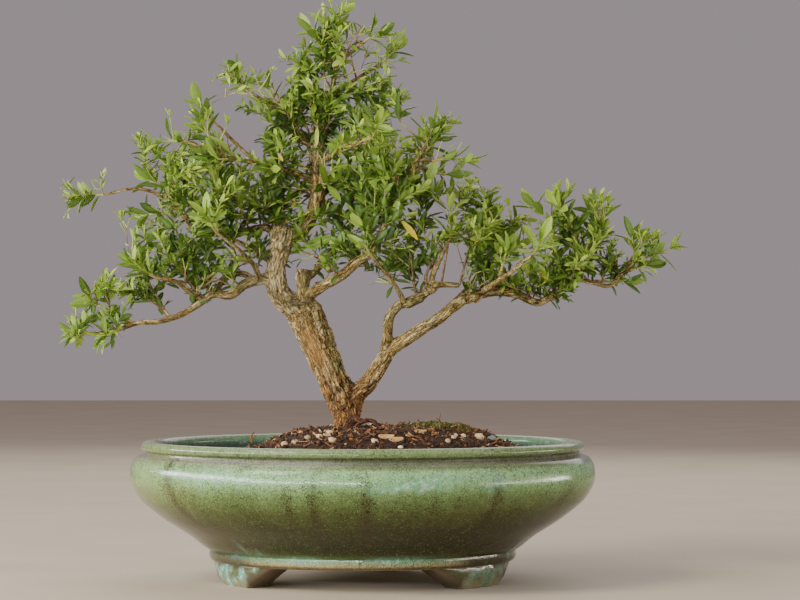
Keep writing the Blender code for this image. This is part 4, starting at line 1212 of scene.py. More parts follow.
                # A painted shade on the lower rows of the wings, kept as "bare"
                low, outer = (smoothstep(*span, x) for span, x in zip(self.foot_painted_shade_spans, (share, wing)))
                bare.append(self.foot_painted_shade * low * outer)
            points += [self.foot_inner * out + Vector((0, 0, height)) for height in (bottom, self.foot_top)]
            pools += [0.0, 0.0]
            # The inner face is worn clay under a painted shade
            worn += [self.back_worn] * 2
            bare += [self.back_painted_shade] * 2
        sides = self.foot_rows + 2
        last = len(points) - sides
        ends = [tuple(range(sides)), tuple(range(last, last + sides))]
        values = {"drip": [0.0] * len(points), "turquoise_and_painted_light": pools, "worn": worn, "bare": bare}
        return Shape(points, rings(self.foot_sections, sides) + ends, values)

    def drip_at(self, place: Vector) -> float:
        """How dark the drips make the glaze at a point of the bowl."""
        return min(1.0, sum(drip.at(place, number) for number, drip in enumerate(self.drips)))

    def turquoise_and_painted_light_at(self, place: Vector) -> float:
        """How thick the turquoise of the glaze lies at a point of the bowl, with the painted reflections
        under the shoulder and the painted light inside the rim.
        """
        patches = noise.noise(self.pool_scale * place + Vector((4.0, 0, 0)))
        line = smoothstep(*self.ring_line[0], place.z) * (1 - smoothstep(*self.ring_line[1], place.z))
        line *= smoothstep(*self.ring_ends[0], place.x) * smoothstep(*self.ring_ends[1], place.x)
        # The runs under the shoulder are painted reflections
        runs = sum(run.at(place, number) for number, run in enumerate(self.turquoise_runs_and_reflections))
        # The paler inner wall of the rim is a painted light on a wall in shade
        inside = self.inside_painted_light * smoothstep(*self.pool_reach, place.to_2d().length)
        for span in self.pool_heights:
            inside *= smoothstep(*span, place.z)
        return min(1.0, runs + inside + self.pool_on_line * line * smoothstep(*self.pool_patch, patches))

    def worn_at(self, place: Vector) -> float:
        """How far the clay shows through the glaze at a point of the bowl."""
        rim_share, base_share = self.worn_shares
        patches = smoothstep(*self.worn_patch, noise.noise(0.11 * place))
        rim = rim_share * smoothstep(*self.worn_rim, place.z) * patches
        is_base = place.to_2d().length < self.base_radius
        base = smoothstep(*self.worn_base, place.z) if is_base else 0.0
        return min(1.0, rim + base_share * base)

    def build(self) -> None:
        """Builds the pot and dresses it."""
        bowl = add_object("bowl", self.bowl().mesh("bowl"))
        holes = Shape()
        for side in (-1, 1):
            middle = Vector((side * self.drain_offset, 0, 0))
            ends = [(middle + Vector((0, 0, z)), self.drain_radius) for z in self.drain_span]
            holes.add(tube(ends, self.drain_sides))
        cutter = add_object("drain_cutter", holes.mesh("drain_cutter"))
        boolean = bowl.modifiers.new("drain_holes", "BOOLEAN")
        boolean.operation = "DIFFERENCE"
        boolean.object = cutter
        boolean.solver = "EXACT"
        drained = evaluated_mesh(bowl)
        points = [Place.from_frame(vert.co) for vert in drained.vertices]
        values = {
            "drip": [self.drip_at(point) for point in points],
            "turquoise_and_painted_light": [self.turquoise_and_painted_light_at(point) for point in points],
            "worn": [self.worn_at(point) for point in points],
            "bare": [0.0] * len(points),
        }
        shape = Shape(points, [tuple(face.vertices) for face in drained.polygons], values)
        for body in (cutter, bowl):
            bpy.data.objects.remove(body)
        for degrees, glaze in self.feet:
            shape.add(self.foot(degrees, glaze))
        pot = add_object("glazed_pot", shape.mesh("glazed_pot"), CrackleGlaze().material())
        pot.data.set_sharp_from_angle(angle=math.radians(self.sharp_degrees))
        finish_piece(pot, "pot_glaze", "pot")


@dataclass
class DrainScreens:
    """The plastic mesh over each drain hole, whose CAD solids stay."""

    def build(self) -> None:
        """Dresses the two screens."""
        material = ScreenPlastic().material()
        for name in ("drain_screen_left", "drain_screen_right"):
            screen = frame["nodes"][name]
            screen.data.materials.clear()
            screen.data.materials.append(material)
            LOG.info("%s: dressed", name)


# Soil


# The number of the input "Max" for whole numbers on a Random Value node, which has several of that name
MAX_WHOLE_NUMBER = 5


@dataclass(frozen=True)
class LitterKind:
    """One kind of litter: its shapes, and how many lie on the soil, how large, light, tilted and high."""

    name: str
    shapes: list[Mesh]
    count: int
    sizes: tuple[float, float]
    tones: tuple[float, float]
    tilt: float
    rise: float


@dataclass(frozen=True)
class PlacedBit:
    """A stone or flake that the photo shows: where it is seen from the front, its size and tone."""

    x: float
    z: float
    size: float
    tone: float
    turn: float = 0.0


@dataclass
class Soil:
    """The mound of bark soil with its crumbs, flakes, pebbles, moss and dry stems."""

    wall_height: float = 69.5
    mound_height: float = 15.2
    mound_centre: tuple = (11.0, 2.0)
    mound_flat: float = 40.0
    mound_foot: float = 92.0
    slope: float = 0.016
    relief: float = 1.3
    relief_size: float = 11.0
    wall: tuple = ((76.0, 22.1), (89.4, 28.7), (109.9, 42.8), (120.4, 54.3), (120.4, 64.3), (116.4, 69.6))
    top_radius: float = 113.5
    ring_spacing: float = 2.2
    sides: int = 150
    fine_relief: float = 1.1
    litter_radius: float = 110.0
    collar: tuple = (-8.8, 0.0, 8.6)
    seed: int = 5
    moss_centre: tuple = (44.0, -10.0)
    moss_half: tuple = (23.0, 24.0)
    moss_rise: float = 2.6
    moss_edge: tuple = (0.55, 1.0)
    moss_ragged: float = 0.35
    moss_grain: float = 7.0
    clod_size: float = 5.5
    edge_from: float = 100.0
    bed_tone: tuple = (0.22, 0.2, 0.3)
    heaps: tuple = ((-70.0, -38.0, 20.0, 5.0), (86.0, -34.0, 14.0, 3.0))
    flake_sections: tuple = ((-0.5, 0.35), (-0.3, 0.9), (0.0, 1.0), (0.28, 0.8), (0.5, 0.25))
    # The corners of a flake's section: its side and how high it stands
    flake_corners: tuple = ((-1, 0.2), (1, 0.35), (1, -0.4), (-1, -0.3))
    flake_wave: float = 0.25
    flake_sway: float = 0.3
    flake_bend: float = 0.25
    sharp_from: float = 0.5
    lump_scale: float = 2.6
    tuft_radii: tuple = (0.34, 0.05)
    tuft_bend: float = 0.2
    tuft_scale: float = 1.7
    seen_span: tuple = (-108.0, 40.0)
    placed_rise: float = 0.15
    placed_tilt: float = 0.5
    stem_spacing: float = 1.0
    stem_sides: int = 6
    stem_tone: float = 0.6
    pebbles: tuple = (
        PlacedBit(-6.6, 87.4, 4.2, 0.86), PlacedBit(-16.1, 77.6, 5.2, 0.70),
        PlacedBit(7.5, 77.2, 4.2, 0.78), PlacedBit(-30.2, 79.4, 4.2, 0.36),
        PlacedBit(-36.9, 76.4, 4.4, 0.42), PlacedBit(-62.7, 77.2, 5.4, 0.80),
        PlacedBit(-43.2, 75.6, 4.4, 0.74), PlacedBit(-23.4, 80.2, 4.0, 0.80),
        PlacedBit(56.9, 80.6, 3.2, 0.92), PlacedBit(65.9, 79.8, 5.4, 0.82),
        PlacedBit(72.6, 78.8, 4.8, 0.06), PlacedBit(52.4, 81.0, 3.0, 0.88),
        PlacedBit(48.5, 77.6, 3.4, 0.58), PlacedBit(86.7, 77.0, 3.4, 0.86),
        PlacedBit(22.1, 74.2, 3.0, 0.98), PlacedBit(4.6, 87.6, 3.6, 0.66),
        PlacedBit(-17.6, 81.6, 5.2, 0.82), PlacedBit(51.6, 79.4, 3.4, 0.80),
    )
    flakes: tuple = (
        PlacedBit(-18.9, 80.4, 6.0, 0.96, 0.6), PlacedBit(14.0, 79.0, 8.5, 0.90, 0.3),
        PlacedBit(19.5, 77.4, 9.0, 0.84, -0.5), PlacedBit(26.5, 80.0, 6.0, 0.78, 1.0),
        PlacedBit(-70.0, 78.4, 9.0, 0.74, 0.4), PlacedBit(-76.0, 77.6, 7.0, 0.86, -0.2),
        PlacedBit(17.0, 88.6, 6.0, 0.80, 1.2), PlacedBit(33.0, 82.6, 6.5, 0.88, 0.1),
        PlacedBit(80.0, 77.8, 8.0, 0.66, 0.5), PlacedBit(-52.0, 81.0, 7.0, 0.60, -0.7),
        PlacedBit(-33.0, 83.0, 6.0, 0.52, 0.9),
    )
    dry_stems: tuple = (
        ((43.0, -30, 86.0, 0.42), (42.6, -30, 90.5, 0.34), (43.2, -30, 94.6, 0.22)),
        ((43.0, -30, 90.6, 0.26), (40.6, -31, 92.2, 0.20)),
        ((53.4, -32, 84.4, 0.40), (53.0, -32, 87.0, 0.34), (54.2, -32, 88.6, 0.24)),
        ((53.0, -32, 87.0, 0.26), (51.4, -33, 88.4, 0.20)),
        ((30.6, -24, 86.4, 0.40), (30.4, -24, 89.6, 0.30), (31.2, -24, 91.6, 0.22)),
        ((-59.6, -46, 78.6, 0.70), (-60.4, -46, 82.0, 0.60), (-59.0, -46, 85.0, 0.40)),
        ((-60.4, -46, 80.4, 0.50), (-57.6, -47, 82.8, 0.34)),
        ((18.0, -18, 86.0, 0.60), (20.0, -19, 89.0, 0.50), (24.0, -20, 89.6, 0.32)),
    )

    def height(self, x: float, y: float) -> float:
        """The height of the solid soil's top at a place."""
        from_centre = math.hypot(x - self.mound_centre[0], y - self.mound_centre[1])
        mound = 1 - smoothstep(self.mound_flat, self.mound_foot, from_centre)
        relief = noise.noise(Vector((x, y, 0)) / self.relief_size)
        return self.wall_height + self.mound_height * mound + self.slope * x + self.relief * relief

    def moss_at(self, x: float, y: float) -> float:
        """How much of the moss cushion is at a place, 0 to 1."""
        across = (x - self.moss_centre[0]) / self.moss_half[0]
        deep = (y - self.moss_centre[1]) / self.moss_half[1]
        ragged = self.moss_ragged * noise.noise(Vector((x, y, 40)) / self.moss_grain)
        return 1 - smoothstep(*self.moss_edge, math.hypot(across, deep) + ragged)

    def heap_at(self, x: float, y: float) -> float:
        """How high the loose litter is heaped at a place."""
        return max(
            rise * math.exp(-((math.hypot(x - east, y - north) / reach) ** 2))
            for east, north, reach, rise in self.heaps
        )

    def top_height(self, x: float, y: float) -> float:
        """The height of the dressed soil: the solid's, with clods, heaped litter and the moss cushion."""
        clods = noise.fractal(Vector((x, y, 9)) / self.clod_size, 0.9, 2.1, 3)
        edge = 1 - smoothstep(self.edge_from, self.top_radius, math.hypot(x, y))
        rise = self.fine_relief * clods + self.moss_rise * self.moss_at(x, y) + self.heap_at(x, y)
        return self.height(x, y) + edge * rise

    def bed(self) -> Mesh:
        """The soil's own closed body, with its top in fine rings."""
        profile = [(0.0, self.wall[0][1]), *self.wall]
        radii = np.arange(self.top_radius, self.ring_spacing, -self.ring_spacing)
        profile += [(radius, None) for radius in radii]
        points = [Vector((0, 0, profile[0][1]))]
        for radius, height in profile[1:]:
            for number in range(self.sides):
                angle = math.tau * number / self.sides
                x, y = radius * math.cos(angle), radius * math.sin(angle)
                points.append(Vector((x, y, self.top_height(x, y) if height is None else height)))
        points.append(Vector((0, 0, self.top_height(0, 0))))
        last = len(points) - 1
        faces = rings(len(profile) - 1, self.sides, 1)
        for number in range(self.sides):
            after = (number + 1) % self.sides
            faces.append((0, 1 + after, 1 + number))
            faces.append((last, last - self.sides + number, last - self.sides + after))
        tone, stray_share, scale = self.bed_tone
        tones = [tone + stray_share * noise.noise(scale * point) for point in points]
        return Shape(points, faces, {"tone": tones}).mesh("soil_bed")

    # The shapes of litter, one metre long

    def lump_shape(self, rounds: int, stretch: tuple, rough: float, number: int) -> Mesh:
        """A stone or crumb: a ball, stretched and made uneven.

        Args:
            rounds: how finely the ball is divided.
            stretch: its size along each axis.
            rough: how uneven it is.
            number: which of the uneven shapes it is.

        Returns:
            Its mesh.
        """
        bm = bmesh.new()
        bmesh.ops.create_icosphere(bm, subdivisions=rounds, radius=0.5)
        for vert in bm.verts:
            out = 1 + rough * noise.noise(self.lump_scale * vert.co + Vector((7.0 * number, 0, 0)))
            vert.co = Vector(s * c for s, c in zip(stretch, vert.co)) * out
        mesh = bpy.data.meshes.new("lump")
        bm.to_mesh(mesh)
        bm.free()
        if rough < self.sharp_from:
            mesh.shade_smooth()
        return mesh

    def flake_shape(self, width: float, thickness: float, number: int) -> Mesh:
        """A flake of bark: a bent, uneven slab with a point at each end."""
        shape = Shape()
        for share, part in self.flake_sections:
            wave = self.flake_wave * noise.noise(Vector((3 * share, number, 0)))
            half = 0.5 * width * part * (1 + wave)
            middle = Vector((share, self.flake_sway * wave * width, self.flake_bend * share * share))
            for side, rise in self.flake_corners:
                shape.points.append(middle + Vector((0, side * half, rise * thickness)))
        last = len(shape.points) - len(self.flake_corners)
        shape.faces = rings(len(self.flake_sections), len(self.flake_corners))
        shape.faces += [(3, 2, 1, 0), (last, last + 1, last + 2, last + 3)]
        mesh = bpy.data.meshes.new("flake")
        mesh.from_pydata(shape.points, [], shape.faces)
        return outward(mesh)

    def tuft_shape(self, number: int) -> Mesh:
        """A moss shoot: a small pointed tuft with four sides."""
        bm = bmesh.new()
        low, high = self.tuft_radii
        bmesh.ops.create_cone(bm, cap_ends=True, segments=4, radius1=low, radius2=high, depth=1.0)
        for vert in bm.verts:
            spot = self.tuft_scale * vert.co + Vector((0, 5.0 * number, 0))
            vert.co += self.tuft_bend * noise.noise_vector(spot)
        mesh = bpy.data.meshes.new("tuft")
        bm.to_mesh(mesh)
        bm.free()
        return mesh

    # Placing

    def seen_at(self, bit: PlacedBit) -> Vector:
        """The place on the front slope where a bit is seen from the camera."""
        y, back = self.seen_span
        while y < back:
            near = 1 + y / Studio.camera_distance
            x = bit.x * near
            sight = Studio.camera_height + (bit.z - Studio.camera_height) * near
            if self.top_height(x, y) >= sight:
                break
            y += 1.0
        return Vector((x, y, self.top_height(x, y)))

    def scatter_points(self, kind: LitterKind, placed: Sequence[PlacedBit], rng: random.Random) -> Mesh:
        """The seats of one kind of litter.

        Args:
            kind: the litter.
            placed: the bits whose places the photo gives.
            rng: the generator.

        Returns:
            A mesh of points with "turn", "size" and "tone".
        """
        points, turns, sizes, tones = [], [], [], []
        while len(points) < kind.count:
            reach, angle = self.litter_radius * math.sqrt(rng.random()), rng.uniform(0, math.tau)
            x, y = reach * math.cos(angle), reach * math.sin(angle)
            if math.hypot(x - self.collar[0], y - self.collar[1]) < self.collar[2]:
                continue
            if (kind.name == "moss") != (rng.random() < self.moss_at(x, y)):
                continue
            size = kind.sizes[0] + (kind.sizes[1] - kind.sizes[0]) * rng.random() ** 2
            points.append(Vector((x, y, self.top_height(x, y) + kind.rise * size)))
            turns.append((rng.gauss(0, kind.tilt), rng.gauss(0, kind.tilt), rng.uniform(0, math.tau)))
            sizes.append(size * METRES_PER_MM)
            tones.append(rng.uniform(*kind.tones))
        for bit in placed:
            points.append(self.seen_at(bit) + Vector((0, 0, self.placed_rise * bit.size)))
            turns.append((self.placed_tilt, 0.0, bit.turn))
            sizes.append(bit.size * METRES_PER_MM)
            tones.append(bit.tone)
        return point_mesh(kind.name, points, {"turn": turns, "size": sizes, "tone": tones})

    def scatter(
        self, kind: LitterKind, material: Material, placed: Sequence[PlacedBit], rng: random.Random
    ) -> Body:
        """Sets one kind of litter on the soil.

        Args:
            kind: the litter.
            material: its finish.
            placed: the bits whose places the photo gives.
            rng: the generator.

        Returns:
            The piece.
        """
        shapes = hold_shapes(kind.name, kind.shapes)
        inputs = {"Shapes": shapes, "Seed": self.seed, "Kinds": len(kind.shapes) - 1, "Material": material}
        tool = NodeTool(f"{kind.name}_on_soil", inputs)
        inputs = {"Seed": tool.size("Seed"), MAX_WHOLE_NUMBER: tool.size("Kinds")}
        draw = tool.add("FunctionNodeRandomValue", inputs, data_type="INT").outputs[2]
        turn = tool.add("FunctionNodeEulerToRotation", {"Euler": tool.named("turn", "FLOAT_VECTOR")})
        geometry = tool.instances(draw, turn.outputs[0], tool.named("size"))
        piece = tool.run(kind.name, self.scatter_points(kind, placed, rng), geometry)
        drop_shapes(shapes)
        return piece

    def build(self) -> None:
        """Builds the bed and everything that lies on it."""
        rng = random.Random(self.seed)
        bark, stone, moss = BarkSoil().material(), RiverPebble().material(), CushionMoss().material()
        finish_piece(add_object("soil_bed", self.bed(), bark), "potting_soil", "soil")
        crumbs = [self.lump_shape(1, (1.0, 0.75, 0.6), 1.1, number) for number in range(6)]
        flakes = [self.flake_shape(0.42, 0.16, number) for number in range(6)]
        fibres = [self.flake_shape(0.09, 0.07, number) for number in range(3)]
        stones = [self.lump_shape(2, (1.0, 0.85, 0.68), 0.4, number) for number in range(4)]
        tufts = [self.tuft_shape(number) for number in range(4)]
        # Each kind's name, shapes, count, sizes, tones, tilt and share of its size that it stands up
        kinds = (
            (LitterKind("bark_crumbs", crumbs, 6200, (1.1, 3.7), (0.0, 0.62), 0.9, 0.1), bark, ()),
            (LitterKind("bark_flakes", flakes, 1150, (1.8, 5.6), (0.15, 0.95), 0.4, 0.12), bark, self.flakes),
            (LitterKind("bark_fibres", fibres, 1100, (3.0, 8.0), (0.1, 0.98), 0.35, 0.12), bark, ()),
            (LitterKind("pebbles", stones, 60, (1.2, 3.0), (0.3, 0.95), 0.3, 0.12), stone, self.pebbles),
            (LitterKind("moss", tufts, 2600, (0.7, 1.7), (0.0, 0.6), 0.4, 0.25), moss, ()),
        )
        for kind, material, placed in kinds:
            finish_piece(self.scatter(kind, material, placed, rng), "potting_soil")
        stems = Shape()
        for route in self.dry_stems:
            stems.add(tube(smooth_route(route, self.stem_spacing), self.stem_sides))
        stems.values["tone"] = [self.stem_tone] * len(stems.points)
        finish_piece(add_object("dry_stems", stems.mesh("dry_stems"), bark), "potting_soil")


# The tree's plan, which the solids share


@dataclass(frozen=True)
class Limb:
    """A woody limb: a route of (x, y, z, radius), and the tip of its last shoot."""

    name: str
    route: tuple
    bears_twigs: bool = True
    shoot_tip: tuple | None = None


# The tree's limbs, the same as the solids'. Each starts inside the wood that carries it.
LIMBS = (
    Limb("left_trunk", (
        (-8.8, 0, 86, 7.0), (-9.4, 0, 95, 7.5), (-12.6, 0, 105, 8.8), (-17.8, 1, 115, 8.6),
        (-23.6, 3, 129, 9.3), (-28.4, 4, 140, 10.0), (-32.5, 4, 149, 10.6), (-38.0, 3, 153.5, 7.4),
        (-43.6, 2.5, 158, 5.6), (-47.0, 2, 163, 5.2),
    ), bears_twigs=False),
    Limb("upper_trunk", (
        (-37.5, 3, 153, 6.6), (-42.0, 3, 156, 6.2), (-46.6, 3, 160.5, 6.2), (-48.8, 2, 168, 6.2),
        (-48.4, 1, 177, 5.6), (-46.2, 0, 186, 6.4), (-44.2, -1, 195, 8.8), (-43.6, -1, 199, 7.4),
    ), bears_twigs=False),
    Limb("leader", (
        (-44.0, -1, 190, 4.6), (-35.0, -2, 195.5, 4.3), (-30.2, -3, 202, 4.0), (-27.0, -3, 209, 3.9),
        (-25.4, -2, 218, 4.5), (-25.7, 0, 228, 4.3), (-26.2, 2, 240, 3.9), (-23.4, 3, 254, 2.3),
        (-17.4, 2, 272, 1.8), (-16.3, 0, 288, 1.4), (-15.8, -1, 302, 1.1),
    ), shoot_tip=(-9, 0, 327)),
    Limb("right_trunk", (
        (-8.2, 0, 91, 6.2), (-4.9, -1, 103, 5.9), (3.2, -2, 111, 5.0), (9.8, -3, 121, 4.6),
        (15.5, -4, 129.6, 4.2), (23, -5, 134.4, 3.9), (32.7, -6, 140.7, 3.6), (43.4, -6, 147.3, 3.3),
        (51, -5, 153.8, 3.2), (60, -4, 159.2, 3.1), (75.6, -2, 162.2, 2.8), (88, -1, 160, 2.5),
        (97.4, 0, 155.8, 2.2), (105.7, 1, 159.2, 1.9), (119.5, 3, 168.2, 1.5), (129, 3, 167, 1.3),
        (139.5, 2, 165.6, 1.2), (147.5, 1, 174.5, 1.1), (151.5, 0, 181.5, 1.0),
    ), shoot_tip=(152, 2, 200)),
    Limb("right_fork", (
        (12.6, -3.5, 126, 3.3), (14, -6, 137, 2.9), (14.8, -7, 146.5, 2.8), (20, -8, 154, 2.6),
        (30, -9.5, 158.2, 2.4), (37.4, -11, 163, 2.1), (39.4, -12, 172, 1.8), (46.4, -16, 187, 1.3),
    ), shoot_tip=(50, -22, 216)),
    Limb("right_fork_stub", (
        (33, -10, 160.5, 2.0), (42, -12, 165.6, 1.9), (54, -12, 165.4, 1.5),
    ), bears_twigs=False),
    Limb("right_fork_twig", (
        (24, -9, 155, 1.6), (17, -20, 167, 1.3), (6, -31, 180.4, 1.0),
    ), shoot_tip=(-2, -42, 204)),
    Limb("cut_stub", (
        (-33.4, 2, 152, 4.8), (-33.5, 1, 162, 3.1), (-33.6, 0, 169, 4.3), (-33.5, 0, 174.5, 3.7),
    ), bears_twigs=False),
    Limb("inner_branch", (
        (-33, 3, 153, 4.0), (-30, 0, 160, 3.4), (-22, -5, 165.5, 3.0), (-12, -9, 170.6, 2.9),
        (-3.5, -12, 178.2, 2.8), (4.4, -15, 183.6, 2.7), (10.4, -18, 194, 2.3), (17, -23, 209, 1.7),
        (27, -20, 228, 1.4), (35, -14, 244, 1.1),
    ), shoot_tip=(43, -14, 262)),
    Limb("inner_back_branch", (
        (-34, 1, 168, 2.5), (-27, 3, 173.6, 2.2), (-18.9, 8, 183.6, 1.9), (-9, 16, 196, 1.6),
        (2, 25, 212, 1.2),
    ), shoot_tip=(8, 34, 240)),
    Limb("left_low_branch", (
        (-46, 1, 168, 3.8), (-55, 0, 169.4, 3.2), (-65.3, -2, 166.6, 2.9), (-74, -4, 160, 2.6),
        (-83.2, -6, 160.6, 2.4), (-91, -8, 155.6, 2.2), (-100.8, -9, 149.3, 1.9),
        (-113, -11, 145.4, 1.7), (-125.2, -12, 144.4, 1.5), (-138, -12, 140.4, 1.3),
        (-153, -12, 138.2, 1.0),
    ), shoot_tip=(-167, -10, 139)),
    Limb("left_low_loop", (
        (-60, 0, 168, 2.0), (-68, 4, 172.4, 1.9), (-76, 4, 170.6, 1.8), (-83, -4, 161.5, 1.7),
    ), bears_twigs=False),
    Limb("left_low_arm", (
        (-88, -7, 158, 1.9), (-95, -10, 161, 1.7), (-103.2, -15, 167.2, 1.4), (-113.2, -20, 169.4, 1.1),
    ), shoot_tip=(-134, -30, 182)),
    Limb("left_low_twig", (
        (-107, -10, 147, 1.3), (-113.4, -6, 154.6, 1.1), (-118.1, -3, 163.5, 0.95),
    ), shoot_tip=(-126, 4, 188)),
    Limb("left_end_twig", (
        (-127, -12, 144, 1.2), (-135, -9, 147.6, 1.1), (-145.7, -6, 153.4, 0.95),
    ), shoot_tip=(-157, 0, 161)),
    Limb("left_middle_branch", (
        (-45, 0, 195, 2.8), (-54.3, 2, 198, 2.2), (-63.9, 4, 196.8, 2.0), (-72, 6, 194, 1.9),
        (-83, 8, 194.6, 1.7), (-95.4, 10, 198, 1.4), (-104, 10, 208, 1.2), (-109, 8, 216.5, 1.0),
    ), shoot_tip=(-128, 14, 231)),
    Limb("left_long_shoot", (
        (-103, 10, 206, 1.2), (-117, 8, 217.5, 1.1), (-130, 5, 220, 1.0), (-143, 2, 217, 0.95),
    ), bears_twigs=False, shoot_tip=(-167, 2, 213)),
    Limb("upper_left_branch", (
        (-26, 0, 223, 2.1), (-38, -4, 229, 1.8), (-58, -8, 233, 1.5), (-76, -10, 238, 1.2),
        (-94, -10, 244, 1.0),
    ), shoot_tip=(-122, -12, 246)),
    Limb("upper_left_twig", (
        (-58, -8, 233, 1.3), (-71, -4, 245, 1.1), (-82, 0, 256, 0.95),
    ), shoot_tip=(-97, 4, 274)),
    Limb("crown_left_twig", (
        (-26.8, 2, 240, 1.9), (-34, 4, 249.4, 1.6), (-46, 8, 263, 1.3), (-64, 10, 275, 1.0),
    ), shoot_tip=(-76, 12, 293)),
    Limb("crown_front_twig", (
        (-16.6, 0.5, 284, 1.4), (-8.8, -4, 294, 1.1), (1.5, -8, 302, 0.95),
    ), shoot_tip=(13, -14, 307)),
    Limb("crown_back_twig", (
        (-18, 2, 273, 1.5), (-6, 6, 280.5, 1.2), (9.6, 10, 290.5, 1.0),
    ), shoot_tip=(23, 13, 305)),
    Limb("back_branch", (
        (-26, -1, 214, 2.4), (-20, 16, 220, 2.0), (-12, 34, 226, 1.6), (-4, 54, 233, 1.2),
    ), shoot_tip=(2, 78, 246)),
    Limb("front_branch", (
        (-26, 1, 233, 1.9), (-18, -14, 237, 1.5), (-8, -31, 241, 1.2), (4, -46, 245, 1.0),
    ), shoot_tip=(10, -70, 256)),
    Limb("right_back_branch", (
        (49, -5, 152.5, 2.5), (56, 10, 160, 2.1), (63, 28, 168, 1.6), (70, 47, 177, 1.2),
    ), shoot_tip=(78, 70, 192)),
    Limb("right_front_branch", (
        (66, -3.5, 160.8, 2.0), (73, -17, 166, 1.6), (82, -34, 172.4, 1.3), (90, -48, 179, 1.0),
    ), shoot_tip=(100, -70, 194)),
    Limb("left_back_branch", (
        (-48, 2, 176, 2.6), (-57, 15, 183, 2.1), (-70, 31, 190, 1.6), (-84, 45, 197, 1.2),
    ), shoot_tip=(-96, 66, 212)),
    Limb("left_front_branch", (
        (-58, -1, 168.6, 1.9), (-60, -16, 176, 1.5), (-67, -32, 184, 1.2), (-77, -46, 192, 1.0),
    ), shoot_tip=(-88, -66, 208)),
    Limb("bare_right_twig", (
        (117, 2.6, 167, 1.4), (123, 6, 176, 1.2), (128, 9, 187.6, 1.0),
    ), shoot_tip=(129, 12, 216)),
)
ROOT_ARCH = Limb("root_arch", (
    (-7, -13, 77, 1.3), (-5.6, -12, 84, 1.3), (-1, -9.6, 89, 1.4), (4.5, -9, 90.2, 1.3),
    (8.8, -9.4, 87, 1.2), (10.6, -9.8, 79, 1.1),
), bears_twigs=False)
ROOT_FLARE = Limb("root_flare", (
    (-9, -1, 92, 3.0), (-4.5, -5.5, 91, 2.2), (0.5, -9, 89.6, 1.2),
), bears_twigs=False)
# Tips of the shoots that draw the tree's outline
OUTLINE_TIPS = (
    (-58, 4, 285), (-34, -6, 314), (-22, 7, 320), (-93, -14, 264), (-131, 18, 206), (-150, -24, 134),
    (48, -4, 252), (56, 24, 228), (66, -20, 235), (90, 10, 216), (106, -14, 216), (134, -6, 203),
    (182, 2, 190), (167, -12, 179), (157, 6, 168),
)
# Foliage inside the outline: middle, half sizes and the number of shoots in it
FOLIAGE_MASSES = (
    ((-80, 0, 228), (34, 36, 14), 4), ((4, 0, 230), (36, 44, 26), 6), ((80, 0, 194), (36, 34, 14), 4),
    ((-22, 0, 270), (22, 28, 16), 2),
)


@dataclass
class PlannedShoot:
    """A shoot: the stations of the wood that carries it, its tip and its own woody twig."""

    number: int
    wood: list
    tip: Vector
    twig: tuple | None = None


